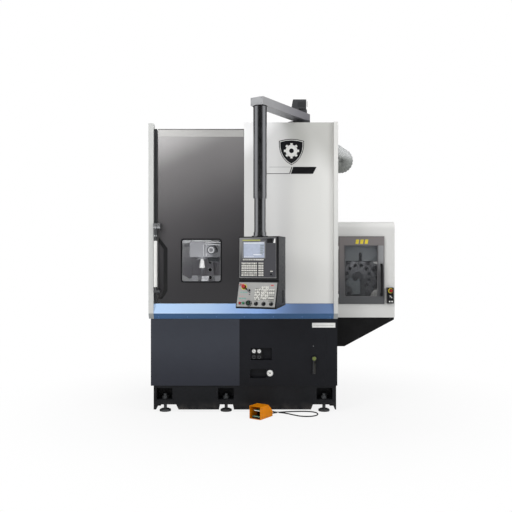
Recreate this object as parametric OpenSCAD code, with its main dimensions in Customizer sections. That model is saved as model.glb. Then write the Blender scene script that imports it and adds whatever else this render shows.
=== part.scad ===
// Vertical turning lathe with a side tool magazine, a hanging control panel
// and a foot switch. Sizes are in millimetres, X to the right, Y to the
// back, Z up. Modules are drawn from the casing's left front floor corner,
// and place() moves them to the middle of the footprint.

/* [Casing] */
// Width of the main casing
casing_w = 2095; // [1950:1:2250]
// Depth of the main casing
casing_d = 1950; // [1930:1:2100]
// Height of the roof above the floor
roof_z = 3145; // [3120:1:3260]
// Thickness of the casing sheets
sheet = 4; // [3:0.5:5]
// Width of the left corner post
left_post_w = 55; // [40:1:70]
// Width of the right corner post
right_post_w = 46; // [40:1:70]
// How far the corner posts stand proud of the front
post_proud = 38; // [20:1:50]
// Left edge of the fixed front cover
cover_left = 1055; // [1000:1:1100]
// Top edge of the fixed front cover
cover_top = 3220; // [3190:1:3300]

/* [Belt and lower panels] */
// Height of the belt's upper edge, which is the door sill
belt_top = 1208; // [1190:1:1220]
// Height of the belt's front edge
belt_edge = 1100; // [1090:1:1130]
// Height of the belt's lower edge
belt_low = 1040; // [1020:1:1060]
// How far the belt's front edge stands out
belt_out = 35; // [20:1:36]
// Seam between the two lower panels
seam_x = 1007; // [950:1:1050]
// Width of the seams between panels
seam_gap = 4; // [2:0.5:8]

/* [Base] */
// Height of the base casting's lower edge
base_low = 30; // [26:1:50]
// Height of the base casting's deck
base_top = 294; // [280:1:320]
// Thickness of the base walls and deck
base_wall = 50; // [35:1:60]
// Side gap between the base and the casing
base_inset = 50; // [40:1:60]
// Diameter of the levelling bolts
bolt_d = 36; // [24:1:42]
// Diameter of the levelling pads
pad_d = 126; // [80:1:140]
// Thickness of the levelling pads
pad_h = 26; // [15:1:28]

/* [Door] */
// Left edge of the door
door_left = 98; // [90:1:110]
// Top edge of the door
door_top = 3150; // [3130:1:3170]
// Thickness of the door
door_t = 40; // [30:1:45]
// How far the door lies under the fixed cover
door_overlap = 20; // [10:1:40]
// Width of the window opening
window_w = 424; // [380:1:460]
// Height of the window opening
window_h = 457; // [400:1:500]
// Left edge of the window opening
window_x = 368; // [340:1:400]
// Lower edge of the window opening
window_z = 1457; // [1420:1:1500]
// Width of the window's black frame
window_rim = 16; // [10:1:24]

/* [Spindle and chuck] */
// Spindle axis, from the casing's left side
spindle_x = 577; // [560:1:600]
// Spindle axis, from the front of the casing
spindle_y = 800; // [780:1:820]
// Diameter of the chuck
chuck_d = 610; // [560:1:630]
// Height of the chuck's upper face
chuck_top = 1380; // [1370:1:1390]
// Thickness of the chuck body
chuck_h = 155; // [140:1:160]
// Through hole of the chuck and spindle
bore_d = 165; // [120:1:180]
// Diameter of the spindle shaft
shaft_d = 240; // [220:1:260]
// Width of the chuck jaws
jaw_w = 84; // [70:1:90]
// Height of the top jaws
jaw_h = 120; // [100:1:124]

/* [Slides] */
// Side of the square ram
ram_w = 260; // [240:1:270]
// Ram axis, from the casing's left side
ram_x = 525; // [505:1:545]
// Height of the ram's upper end
ram_top = 2600; // [2590:1:2610]
// Height of the ram's lower end
ram_low = 1920; // [1910:1:1930]
// Width of the guide rails
rail_w = 45; // [40:1:50]

/* [Pendant] */
// Arm pivot, from the casing's left side
pivot_x = 1710; // [1690:1:1800]
// Arm pivot, from the front of the casing
pivot_y = 222; // [216:1:340]
// Hanging tube axis, from the casing's left side
tube_x = 1230; // [1180:1:1260]
// Hanging tube axis, from the front of the casing
tube_y = -500; // [-540:1:-460]
// Height of the arm's underside
arm_low = 3280; // [3260:1:3300]
// Height of the arm
arm_h = 82; // [75:1:115]
// Diameter of the upper tube
upper_tube_d = 140; // [126:1:150]
// Diameter of the lower tube
lower_tube_d = 120; // [100:1:124]
// Width of the control panel
panel_w = 430; // [420:1:460]
// Depth of the control panel
panel_d = 220; // [200:1:240]
// Height of the control panel's top
panel_top = 1930; // [1920:1:1950]
// Turn of the control panel towards the operator
panel_yaw = -20; // [-30:1:0]

/* [Tool magazine] */
// Width of the magazine cabinet
atc_w = 714; // [690:1:740]
// Depth of the magazine cabinet
atc_d = 900; // [860:1:950]
// Set-back of the magazine cabinet from the front
atc_y = 400; // [360:1:440]
// Height of the magazine cabinet's floor
atc_low = 1020; // [1000:1:1040]
// Height of the magazine cabinet's top
atc_top = 2145; // [2120:1:2180]
// Number of tool stations
stations = 12; // [8:1:12]
// Radius of the tool circle
station_r = 235; // [225:1:245]

/* [Mist extractor] */
// Height of the mist extractor above the roof
extractor_h = 560; // [545:1:590]
// Diameter of the extractor's drum
extractor_d = 300; // [280:1:320]

/* [Foot switch] */
// Width of the foot switch guard
guard_w = 140; // [130:1:150]
// Length of the foot switch guard
guard_l = 235; // [225:1:245]
// Height of the foot switch guard
guard_h = 137; // [130:1:145]
// Turn of the foot switch
guard_yaw = -35; // [-45:1:-25]

/* [Hidden] */
$fn = 64;
// Clearance of parts that are fitted together and stay put
fit_gap = 0.3;
// Clearance round curved parts that turn or slide
run_gap = 0.8;
// Overshoot of a cut past the face that it opens
cut = 1;

// Outer limits, which set the middle of the footprint
atc_x = casing_w + sheet;
footprint_x = atc_x + atc_w;
front_y = tube_y - panel_d / 2 - 160;
back_y = casing_d;
x_mid = footprint_x / 2;
y_mid = (front_y + back_y) / 2;

// Base and bed
base_x0 = base_inset;
base_x1 = casing_w - 16;
base_y0 = 10;
base_y1 = casing_d - 10;
// how far each foot's cut-out reaches to its left and right, and its slant
lug_reach = [[94, 158, 28], [78, 90, 12], [152, 116, 22]];
function lug_of(x) = x < foot_x[1] - 1 ? lug_reach[0] : (x > foot_x[1] + 1 ? lug_reach[2] : lug_reach[1]);
lug_low = base_low + 56;
pocket_w = 176;
pocket_d = 150;
pocket_low = lug_low + 55;
pocket_top = base_top - 23;
foot_x = [base_x0 + 120, base_x0 + 803, base_x1 - 128];
foot_y = [base_y0 + 75, base_y1 - 75];
nut_h = 29;
bed_x0 = 150;
bed_x1 = casing_w - 145;
bed_y0 = 260;
bed_y1 = casing_d - 60;
bed_top = 780;
bed_wall = 50;

// Spindle line
head_d = 560;
head_upper_d = 640;
head_flange_d = 760;
head_flange_h = 60;
head_low = 450;
chuck_low = chuck_top - chuck_h;
nose_h = 60;
nose_d = 420;
head_top = chuck_low - nose_h - fit_gap;
bearing_d = 360;
bearing_h = 56;
bearing_low = head_low + 60;
bearing_high = head_top - 60 - bearing_h;
spindle_low = 330;
pulley_h = 90;
pulley_low = spindle_low + 6;
spindle_pulley_d = 320;
motor_pulley_d = 180;
motor_x = spindle_x + 700;
motor_shaft_d = 55;
belt_t = 9;
jaw_slot_w = 60;
jaw_key_w = 96;
jaw_key_h = 20;
jaw_slot_depth = 44;
jaw_inner_r = 112;
jaw_outer_r = 284;

// Column, rails, saddle and ram
column_x0 = 250;
column_x1 = 1650;
column_y0 = 1350;
column_y1 = bed_y1 - 50;
column_top = 2950;
column_wall = 60;
x_rail_z = [2330, 2720];
x_rail_h = 60;
x_rail_d = 60;
x_screw_d = 45;
x_screw_y = column_y0 - 34;
x_screw_z = (x_rail_z[0] + x_rail_z[1]) / 2;
saddle_w = 400;
saddle_x0 = ram_x - saddle_w / 2;
saddle_low = 2230;
saddle_top = 2820;
ram_back = spindle_y + ram_w / 2;
z_rail_d = 45;
z_screw_d = 40;
saddle_y0 = ram_back + 60;
saddle_y1 = column_y0 - x_rail_d - 10;
z_bracket_top = 2930;
z_screw_y = ram_back + 30;
carriage_z = [2250, 2480];
carriage_h = 70;
head_h = 190;
head_x0 = ram_x - 140;
head_x1 = ram_x + 235;

// Enclosure frame and walls
tube_s = 40;
frame_x0 = 62;
frame_x1 = casing_w - 69;
frame_y0 = 66;
frame_y1 = casing_d - 60;
roof_under = roof_z - sheet;
chamber_z = 1130;
chamber_x1 = 1560;
chamber_y1 = 1250;
chamber_low_top = 2180;
lamp_z = chamber_z + 810;
wall_x0 = frame_x0 + tube_s;
wall_y0 = frame_y0 + tube_s;

// Door
door_y = 12;
door_right = cover_left + door_overlap;
door_z0 = belt_top + 2;
door_slot_y1 = frame_y0 - 2;
rail_h = 40;
rail_t = 8;
rail_z = [door_z0 + 30, door_top - 100];
handle_x = 81;

// Pendant
arm_dx = tube_x - pivot_x;
arm_dy = tube_y - pivot_y;
arm_len = sqrt(arm_dx * arm_dx + arm_dy * arm_dy);
arm_angle = atan2(arm_dy, arm_dx);
arm_w = 150;
arm_over = 64;
arm_tail = 62;
post_d = 190;
tube_split = 2327;
plate_low = 1500;
console_top = 1466;
console_low = 1200;
console_out = 95;
console_slope = atan2(console_out - 10, console_top - console_low);

// Tool magazine
atc_x1 = atc_x + atc_w;
atc_y1 = atc_y + atc_d;
atc_round = 75;
atc_door_x0 = atc_x + 61;
atc_door_x1 = atc_x + 588;
atc_door_z0 = atc_low + 164;
atc_door_z1 = atc_top - 180;
atc_door_t = 24;
atc_glass_x0 = atc_door_x0 + 67;
atc_glass_x1 = atc_door_x1 - 82;
atc_glass_z0 = atc_door_z0 + 88;
atc_glass_z1 = atc_door_z1 - 108;
hinge_x = atc_door_x0 - 11;
hinge_y = atc_y - atc_door_t / 2 - 1;
hinge_d = 18;
pin_d = 9;
mag_x = atc_x + 330;
mag_y = atc_y + 330;
mag_z = 1490;
mag_t = 40;
support_low = 680;
support_x1 = atc_x + 128;

// Foot switch
guard_t = 3;
gland_out = 8;
gland_tip = [1315, -119];
pedal_x = gland_tip[0] + (guard_l + gland_out) * sin(guard_yaw);
pedal_y = gland_tip[1] - (guard_l + gland_out) * cos(guard_yaw);
treadle_y = 150;
treadle_z = 62;

module place() translate([-x_mid, -y_mid, 0]) children();

// A box between two opposite corners
module block(a, b) translate(a) cube(b - a);

// A square sheet frame: a box with a smaller box cut through along Z
module ring_plate(outer_w, outer_h, inner_w, inner_h, t)
    linear_extrude(t) difference() {
        square([outer_w, outer_h], center = true);
        square([inner_w, inner_h], center = true);
    }

// A rectangle with round corners, as exact arcs
module round_rect(w, h, r) {
    square([w - 2 * r, h], center = true);
    square([w, h - 2 * r], center = true);
    for (sx = [-1, 1], sy = [-1, 1])
        translate([sx * (w / 2 - r), sy * (h / 2 - r)]) circle(r);
}

// Turns a profile drawn in X and Z so that it runs along +Y
module along_y(length) rotate([90, 0, 0]) translate([0, 0, -length])
    linear_extrude(length) children();

// Turns a profile drawn in Y and Z so that it runs along +X
module along_x(length) rotate([90, 0, 90]) linear_extrude(length) children();

// ---- Base, bed and column -------------------------------------------------

beam_d = 190;
beam_low = base_low + 56;

// Deck, side walls and ribs between the two beams
module base_casting() color("#29282b") place() {
    block([base_x0, base_y0 + beam_d, base_top - base_wall], [base_x1, base_y1 - beam_d, base_top]);
    for (x = [base_x0, base_x1 - base_wall])
        block([x, base_y0 + beam_d, base_low], [x + base_wall, base_y1 - beam_d, base_top]);
    for (x = [foot_x[0] + 330, foot_x[1] + 560])
        block([x - 20, base_y0 + beam_d, beam_low], [x + 20, base_y1 - beam_d, base_top - 20]);
}

// A beam with a bolt pocket and a slanted cut-out over each foot
module base_beam() difference() {
    union() {
        block([base_x0, base_y0, beam_low], [base_x1, base_y0 + beam_d, base_top]);
        block([base_x0, base_y0, base_low], [base_x1, base_y0 + base_wall, beam_low + cut]);
    }
    for (x = foot_x) translate([x, 0, 0]) {
        block([-pocket_w / 2, base_y0 - cut, pocket_low], [pocket_w / 2, base_y0 + pocket_d, pocket_top]);
        translate([0, base_y0 - cut, 0]) along_y(base_wall + 2 * cut)
            polygon([[-lug_of(x)[0], base_low - cut], [lug_of(x)[1], base_low - cut],
                [lug_of(x)[1] - lug_of(x)[2], lug_low], [lug_of(x)[2] - lug_of(x)[0], lug_low]]);
        translate([0, foot_y[0], lug_low - cut])
            cylinder(d = bolt_d + 2 * fit_gap, h = pocket_low - lug_low + 2 * cut);
    }
}

module base_front_beam() color("#29282b") place() {
    base_beam();
    // gland boss of the foot switch cable
    translate(cable_route[len(cable_route) - 1]) cylinder(d = cable_gland_d, h = beam_low + cut - cable_end_z);
}

module base_rear_beam() color("#29282b") place()
    translate([0, base_y0 + base_y1, 0]) mirror([0, 1, 0]) base_beam();

// Each foot is a pad and, on it, a bolt with its nut on the base's lug
module levelling_feet() color("#8f9296") place() for (x = foot_x, y = foot_y)
    translate([x, y, 0]) {
        cylinder(d = pad_d, h = pad_h - 8);
        cylinder(d = pad_d - 30, h = pad_h);
        translate([0, 0, pad_h]) cylinder(d = bolt_d, h = pocket_low + nut_h + 24 - pad_h);
        translate([0, 0, pocket_low]) cylinder(d = bolt_d * 1.9, h = nut_h, $fn = 6);
    }

module bed() color("#3b4046") place() difference() {
    block([bed_x0, bed_y0, base_top], [bed_x1, bed_y1, bed_top]);
    block([bed_x0 + bed_wall, bed_y0 + bed_wall, base_top - cut],
        [bed_x1 - bed_wall, bed_y1 - bed_wall, bed_top - bed_wall]);
    // access openings for the belt and the motor
    block([spindle_x - 250, bed_y0 - cut, base_top + 80],
        [spindle_x + 250, bed_y0 + bed_wall + cut, bed_top - 130]);
    block([motor_x - 250, bed_y0 - cut, base_top + 80],
        [motor_x + 250, bed_y0 + bed_wall + cut, bed_top - 130]);
    translate([spindle_x, spindle_y, bed_top - bed_wall - cut])
        cylinder(d = head_d + 2 * fit_gap, h = bed_wall + 2 * cut);
    translate([motor_x, spindle_y, bed_top - bed_wall - cut])
        cylinder(d = 120, h = bed_wall + 2 * cut);
}

module column() color("#c9cbcc") place() difference() {
    block([column_x0, column_y0, bed_top], [column_x1, column_y1, column_top]);
    block([column_x0 + column_wall, column_y0 + column_wall, bed_top + 80],
        [column_x1 - column_wall, column_y1 - column_wall, column_top - column_wall]);
    block([column_x0 + 220, column_y0 - cut, bed_top + 180],
        [column_x1 - 220, column_y1 + cut, x_rail_z[0] - 150]);
    for (x = [column_x0 + 280, column_x1 - 620])
        block([x, column_y1 - column_wall - cut, x_rail_z[0]],
            [x + 340, column_y1 + cut, column_top - 180]);
}

// ---- Spindle and chuck ----------------------------------------------------

module on_spindle() place() translate([spindle_x, spindle_y, 0]) children();

module tube(outer_d, inner_d, z0, z1) translate([0, 0, z0]) difference() {
    cylinder(d = outer_d, h = z1 - z0);
    translate([0, 0, -cut]) cylinder(d = inner_d, h = z1 - z0 + 2 * cut);
}

module headstock() color("#55595e") on_spindle() difference() {
    union() {
        translate([0, 0, head_low]) cylinder(d = head_d, h = bed_top - head_low + cut);
        translate([0, 0, bed_top]) cylinder(d = head_flange_d, h = head_flange_h);
        translate([0, 0, bed_top + head_flange_h - cut])
            cylinder(d = head_upper_d, h = head_top - bed_top - head_flange_h + cut);
    }
    translate([0, 0, head_low - cut])
        cylinder(d = bearing_d - 40, h = head_top - head_low + 2 * cut);
    translate([0, 0, head_low - cut])
        cylinder(d = bearing_d + 2 * fit_gap, h = bearing_low + bearing_h - head_low + cut);
    translate([0, 0, bearing_high])
        cylinder(d = bearing_d + 2 * fit_gap, h = head_top - bearing_high + cut);
    for (a = [0 : 30 : 330]) rotate(a + 15)
        translate([head_flange_d / 2 - 30, 0, bed_top - cut])
            cylinder(d = 22, h = head_flange_h + 2 * cut, $fn = 32);
}

module spindle_bearings() color("#b9bcc0") on_spindle() {
    tube(bearing_d, shaft_d + 2 * run_gap, bearing_low, bearing_low + bearing_h);
    tube(bearing_d, shaft_d + 2 * run_gap, bearing_high, bearing_high + bearing_h);
}

module spindle() color("#a7abb0") on_spindle() {
    difference() {
        union() {
            translate([0, 0, spindle_low]) cylinder(d = shaft_d, h = chuck_low - spindle_low);
            translate([0, 0, chuck_low - nose_h]) cylinder(d = nose_d, h = nose_h);
            translate([0, 0, pulley_low]) pulley(spindle_pulley_d);
        }
        translate([0, 0, spindle_low - cut])
            cylinder(d = bore_d, h = chuck_low - spindle_low + 2 * cut);
    }
}

// A flat-belt wheel with a raised rim at each edge
module pulley(d) {
    cylinder(d = d, h = pulley_h);
    cylinder(d = d + 8, h = 6);
    translate([0, 0, pulley_h - 6]) cylinder(d = d + 8, h = 6);
}

module chuck_body() color("#8f9499") on_spindle() difference() {
    translate([0, 0, chuck_low]) rotate_extrude($fn = 128) polygon([
        [bore_d / 2, 0], [chuck_d / 2 - 24, 0], [chuck_d / 2 - 8, 24],
        [chuck_d / 2 - 8, 44], [chuck_d / 2, 52], [chuck_d / 2, chuck_h - 6],
        [chuck_d / 2 - 6, chuck_h], [bore_d / 2 + 26, chuck_h],
        [bore_d / 2 + 14, chuck_h - 10], [bore_d / 2, chuck_h - 10]]);
    for (i = [0 : 2]) rotate(jaw_angle(i)) {
        block([bore_d / 2 - 20, -jaw_slot_w / 2 - fit_gap, chuck_top - jaw_slot_depth],
            [chuck_d / 2 + cut, jaw_slot_w / 2 + fit_gap, chuck_top + cut]);
        block([bore_d / 2 - 20, -jaw_key_w / 2 - fit_gap, chuck_top - jaw_slot_depth],
            [chuck_d / 2 + cut, jaw_key_w / 2 + fit_gap,
                chuck_top - jaw_slot_depth + jaw_key_h + fit_gap]);
    }
    for (i = [0 : 2]) rotate(jaw_angle(i) + 60) {
        translate([chuck_d / 2 - 70, 0, chuck_top - 22]) cylinder(d = 46, h = 23);
        block([chuck_d / 2 - 190, -11, chuck_top - 18], [chuck_d / 2 - 110, 11, chuck_top + cut]);
    }
}

function jaw_angle(i) = -90 + 120 * i;

// One jaw: a T-shaped master jaw in the slot with a stepped top jaw on it
module jaw(i) color("#c3c6ca") on_spindle() rotate(jaw_angle(i)) difference() {
    union() {
        block([jaw_inner_r, -jaw_slot_w / 2, chuck_top - jaw_slot_depth],
            [jaw_outer_r, jaw_slot_w / 2, chuck_top + fit_gap]);
        block([jaw_inner_r, -jaw_key_w / 2, chuck_top - jaw_slot_depth],
            [jaw_outer_r, jaw_key_w / 2, chuck_top - jaw_slot_depth + jaw_key_h]);
        translate([0, jaw_w / 2, chuck_top + fit_gap]) rotate([90, 0, 0]) linear_extrude(jaw_w)
            polygon([[jaw_inner_r - 12, 0], [jaw_outer_r + 8, 0], [jaw_outer_r + 8, jaw_h * 0.35],
                [jaw_outer_r - 44, jaw_h * 0.35], [jaw_outer_r - 44, jaw_h * 0.7],
                [jaw_outer_r - 92, jaw_h * 0.7], [jaw_outer_r - 92, jaw_h],
                [jaw_inner_r + 4, jaw_h], [jaw_inner_r - 12, jaw_h - 16]]);
    }
    translate([jaw_outer_r - 20, 0, chuck_top + 6]) cylinder(d = 34, h = jaw_h);
    translate([jaw_outer_r - 68, 0, chuck_top + 40]) cylinder(d = 34, h = jaw_h);
}
module jaw_1() jaw(0);
module jaw_2() jaw(1);
module jaw_3() jaw(2);

module motor_pulley() color("#a7abb0") place() translate([motor_x, spindle_y, 0]) {
    translate([0, 0, pulley_low]) pulley(motor_pulley_d);
    translate([0, 0, pulley_low]) cylinder(d = motor_shaft_d, h = 200);
}

module belt_loop(extra) hull() {
    circle(d = spindle_pulley_d + 2 * extra, $fn = 96);
    translate([motor_x - spindle_x, 0]) circle(d = motor_pulley_d + 2 * extra, $fn = 96);
}

module drive_belt() color("#1b1b1d") on_spindle()
    translate([0, 0, pulley_low + 12]) linear_extrude(pulley_h - 24) difference() {
        belt_loop(run_gap + belt_t);
        belt_loop(run_gap);
    }

module spindle_motor() color("#2f3236") place() translate([motor_x, spindle_y, 0]) difference() {
    union() {
        translate([0, 0, pulley_low + pulley_h + 30]) linear_extrude(bed_top - bed_wall - 20
            - pulley_low - pulley_h - 30) round_rect(290, 290, 40);
        block([-175, -175, bed_top - bed_wall - 20], [175, 175, bed_top - bed_wall]);
    }
    translate([0, 0, pulley_low + pulley_h + 30 - cut])
        cylinder(d = motor_shaft_d + 2 * run_gap, h = 90);
}

// ---- Slides ---------------------------------------------------------------

// The two cross rails, and between them the ball screw with its motor
module x_rails() color("#b9bcc0") place() {
    for (z = x_rail_z) difference() {
        block([column_x0 + 10, column_y0 - x_rail_d, z - x_rail_h / 2],
            [column_x1 - 10, column_y0, z + x_rail_h / 2]);
        for (x = [column_x0 + 70 : 180 : column_x1 - 40])
            translate([x, column_y0 - x_rail_d - cut, z]) rotate([-90, 0, 0])
                cylinder(d = 20, h = 18, $fn = 24);
    }
    translate([column_x0 + 20, x_screw_y, x_screw_z]) rotate([0, 90, 0])
        cylinder(d = x_screw_d, h = column_x1 - column_x0 - 20);
    for (x = [column_x0 + 15, column_x1 - 75])
        block([x, column_y0 - 62, x_screw_z - 45], [x + 60, column_y0, x_screw_z + 45]);
    block([column_x1, column_y0 - 105, x_screw_z - 75], [column_x1 + 210, column_y0 + 45, x_screw_z + 75]);
}

// A carriage that grips a rail from three sides
module z_carriage(x, z) difference() {
    block([x - rail_w / 2 - 22, ram_back + 12, z], [x + rail_w / 2 + 22, saddle_y0 + cut, z + carriage_h]);
    block([x - rail_w / 2 - fit_gap, ram_back, z - cut],
        [x + rail_w / 2 + fit_gap, ram_back + z_rail_d + fit_gap, z + carriage_h + cut]);
}

module saddle() color("#d8dadb") place() {
    difference() {
        union() {
            block([saddle_x0, saddle_y0, saddle_low], [saddle_x0 + saddle_w, saddle_y1, saddle_top]);
            for (z = x_rail_z) block([saddle_x0 + 10, saddle_y1 - cut, z - x_rail_h / 2 - 26],
                [saddle_x0 + saddle_w - 10, column_y0 - 12, z + x_rail_h / 2 + 26]);
            block([ram_x - 70, saddle_y1 - cut, x_screw_z - 40], [ram_x + 70, column_y0 - 4, x_screw_z + 40]);
            block([ram_x - 80, saddle_y0, saddle_top - cut], [ram_x + 80, saddle_y0 + 50, z_bracket_top]);
            for (z = [saddle_low, z_bracket_top - 40])
                block([ram_x - 32, ram_back + 8, z], [ram_x + 32, saddle_y0 + cut, z + 38]);
            for (x = ram_rail_x, z = carriage_z) z_carriage(x, z);
        }
        for (z = x_rail_z) block([saddle_x0 - cut, column_y0 - x_rail_d - fit_gap, z - x_rail_h / 2 - fit_gap],
            [saddle_x0 + saddle_w + cut, column_y0, z + x_rail_h / 2 + fit_gap]);
        block([saddle_x0 - cut, saddle_y0 + 50, saddle_low + 60],
            [saddle_x0 + saddle_w + cut, saddle_y1 - 50, saddle_top - 60]);
        translate([ram_x, z_screw_y, saddle_low - cut])
            cylinder(d = z_screw_d + 2 * fit_gap, h = z_bracket_top - saddle_low + 2 * cut);
        translate([ram_x - 80, x_screw_y, x_screw_z]) rotate([0, 90, 0])
            cylinder(d = x_screw_d + 2 * run_gap, h = 160);
    }
    // ball screw and its motor
    translate([ram_x, z_screw_y, saddle_low + 4]) cylinder(d = z_screw_d, h = z_bracket_top - saddle_low - 4);
    difference() {
        block([ram_x - 65, ram_back + 8, z_bracket_top], [ram_x + 65, ram_back + 138, z_bracket_top + 190]);
        block([ram_x - 66, ram_back + 7, z_bracket_top + 60], [ram_x - 58, ram_back + 139, z_bracket_top + 66]);
        block([ram_x + 58, ram_back + 7, z_bracket_top + 60], [ram_x + 66, ram_back + 139, z_bracket_top + 66]);
    }
}

ram_rail_x = [ram_x - ram_w / 2 + 42, ram_x + ram_w / 2 - 42];

module ram() color("#dfe0e0") place() {
    translate([ram_x, spindle_y, ram_low]) linear_extrude(ram_top - ram_low) difference() {
        let (a = ram_w / 2, c = 22)
            polygon([[-a + c, -a], [a - c, -a], [a, -a + c], [a, a], [-a, a], [-a, -a + c]]);
        square(ram_w - 110, center = true);
    }
    for (x = ram_rail_x) block([x - rail_w / 2, ram_back, ram_low + 20],
        [x + rail_w / 2, ram_back + z_rail_d, ram_top]);
    difference() {
        block([ram_x - 34, ram_back, carriage_z[0] + 40], [ram_x + 34, saddle_y0 - 6, carriage_z[0] + 110]);
        translate([ram_x, z_screw_y, carriage_z[0]])
            cylinder(d = z_screw_d + 2 * run_gap, h = 160);
    }
}

module tool_head() color("#aeb2b6") place() {
    difference() {
        union() {
            block([head_x0, spindle_y - ram_w / 2 - 12, ram_low - head_h],
                [head_x1, spindle_y + ram_w / 2, ram_low]);
            for (x = [ram_x + 24, ram_x + 66])
                block([x, spindle_y - ram_w / 2 - 26, ram_low - head_h + 20],
                    [x + 16, spindle_y - ram_w / 2 - 12 + cut, ram_low]);
            translate([head_x1 - 126, spindle_y - ram_w / 2 - 12 + cut, ram_low - head_h / 2 - 6])
                rotate([90, 0, 0]) cylinder(d = 130, h = 22);
            block([ram_x + 70, spindle_y - 90, ram_low - head_h - 56],
                [head_x1 - 20, spindle_y + 60, ram_low - head_h + cut]);
            translate([ram_x, spindle_y, ram_low - head_h - 24]) cylinder(d = 150, h = 25);
        }
        translate([head_x1 - 126, spindle_y - ram_w / 2 - 12, ram_low - head_h / 2 - 6])
            rotate([90, 0, 0]) cylinder(d = 74, h = 40);
    }
    // coolant nozzle and its clip
    block([head_x1 - 21, spindle_y - 60, ram_low - head_h - 40], [head_x1 + 30, spindle_y - 30, ram_low - head_h - 18]);
    translate([head_x1 + 12, spindle_y - 45, ram_low - head_h - 150]) cylinder(d = 14, h = 112);
}

module boring_tool() color("#d4d6d8") place() translate([ram_x, spindle_y, ram_low - head_h - 24]) {
    translate([0, 0, -126]) cylinder(d1 = 78, d2 = 48, h = 126);
    translate([0, 0, -168]) cylinder(d = 34, h = 43);
    difference() {
        translate([0, 0, -180]) cylinder(d = 34, h = 13);
        block([-20, -20, -190], [4, 20, -166]);
    }
}

// ---- Enclosure ------------------------------------------------------------

module enclosure_frame() color("#9a9da0") place() {
    for (x = [frame_x0, frame_x1 - tube_s], y = [frame_y0, frame_y1 - tube_s])
        block([x, y, base_top], [x + tube_s, y + tube_s, roof_under]);
    for (x = [frame_x0, frame_x1 - tube_s], z = [chamber_z - tube_s, roof_under - tube_s])
        block([x, frame_y0 + tube_s, z], [x + tube_s, frame_y1 - tube_s, z + tube_s]);
    for (y = [frame_y0, frame_y1 - tube_s], z = [chamber_z - tube_s, roof_under - tube_s])
        block([frame_x0 + tube_s, y, z], [frame_x1 - tube_s, y + tube_s, z + tube_s]);
    block([frame_x0 + tube_s, chamber_y1, chamber_z - tube_s],
        [frame_x1 - tube_s, chamber_y1 + tube_s, chamber_z]);
    for (x = [cover_left + 5]) block([x, frame_y0, chamber_z], [x + tube_s, frame_y0 + tube_s, roof_under - tube_s]);
    // stand-off brackets that carry the side panels
    for (y = [frame_y0, frame_y1 - tube_s], z = [chamber_z + 120, roof_under - 300]) {
        block([sheet, y, z], [frame_x0, y + tube_s, z + tube_s]);
        block([frame_x1, y, z], [casing_w - sheet, y + tube_s, z + tube_s]);
    }
    for (y = [frame_y0, frame_y1 - tube_s], z = [base_top + 60, belt_low - 120]) {
        block([lower_x0 + sheet, y, z], [frame_x0, y + tube_s, z + tube_s]);
        block([frame_x1, y, z], [casing_w - 2 * sheet, y + tube_s, z + tube_s]);
    }
    for (x = [frame_x0, frame_x1 - tube_s], z = [base_top + 60, belt_low - 120, roof_under - 300])
        block([x, frame_y1, z], [x + tube_s, casing_d - sheet, z + tube_s]);
    for (x = [frame_x0, frame_x1 - tube_s]) {
        block([x, sheet, base_top + 60], [x + tube_s, frame_y0, base_top + 60 + tube_s]);
        block([x, belt_back, belt_low + 20], [x + tube_s, frame_y0, belt_low + 20 + tube_s]);
    }
    // door rails
    for (z = [sill_rail_z, rail_z[1]])
        block([frame_x0 + 2, frame_y0 - rail_t, z], [frame_x1 - 2, frame_y0 + cut, z + rail_h]);
    for (x = [spindle_x - 60, seam_x + 500]) {
        block([x, frame_y0, base_top], [x + tube_s, frame_y0 + tube_s, chamber_z - tube_s]);
        block([x, sheet, base_top + 60], [x + tube_s, frame_y0, base_top + 60 + tube_s]);
        block([x, belt_back, belt_low + 20], [x + tube_s, frame_y0, belt_low + 20 + tube_s]);
    }
}

lower_x0 = 20;
belt_back = 6;

module chamber_walls() color("#c6c9cb") place() {
    top = roof_under - tube_s;
    // left, rear and inner right wall
    block([wall_x0, wall_y0, chamber_z + sheet], [wall_x0 + sheet, chamber_y1, top]);
    difference() {
        block([wall_x0 + sheet, chamber_y1 - sheet, chamber_z + sheet],
            [chamber_x1, chamber_y1, chamber_low_top]);
        for (x = [wall_x0 + 230, spindle_x + 240])
            block([x, chamber_y1 - 2 * sheet, chamber_low_top - 20], [x + 3, chamber_y1 + cut, chamber_low_top + cut]);
    }
    difference() {
        block([chamber_x1, wall_y0, chamber_z + sheet], [chamber_x1 + sheet, chamber_y1, top]);
        block([chamber_x1 - cut, mag_y - 300, mag_z - 200], [chamber_x1 + sheet + cut, mag_y + 300, mag_z + 420]);
    }
    // front wall behind the fixed cover
    block([cover_left + 5, wall_y0, chamber_z + sheet], [chamber_x1, wall_y0 + sheet, top]);
    // floor with the hole round the spindle head
    difference() {
        block([wall_x0, wall_y0, chamber_z], [chamber_x1 + sheet, chamber_y1, chamber_z + sheet]);
        translate([spindle_x, spindle_y, chamber_z - cut])
            cylinder(d = head_upper_d + 2 * fit_gap, h = sheet + 2 * cut);
    }
    // folds along the rear wall
    for (x = [wall_x0 + 225, spindle_x - 40])
        block([x, chamber_y1 - sheet - 14, chamber_z + sheet], [x + 30, chamber_y1 - sheet, lamp_z - 40]);
    // wash manifold behind the chuck
    difference() {
        block([spindle_x - 25, chamber_y1 - sheet - 90, chamber_z + sheet],
            [spindle_x + 65, chamber_y1 - sheet - 60, chuck_top + 350]);
        for (z = [chuck_top + 90, chuck_top + 190, chuck_top + 290])
            translate([spindle_x + 20, chamber_y1 - sheet - 92, z]) rotate([-90, 0, 0])
                cylinder(d = 46, h = 20);
    }
    block([spindle_x - 10, chamber_y1 - sheet - 61, chuck_top + 200],
        [spindle_x + 50, chamber_y1 - sheet, chuck_top + 240]);
}

module left_casing() color("#cfd1d2") place() {
    block([0, belt_back, belt_low], [sheet, casing_d, roof_z]);
    post(0, left_post_w, cover_top - 18);
}

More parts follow.
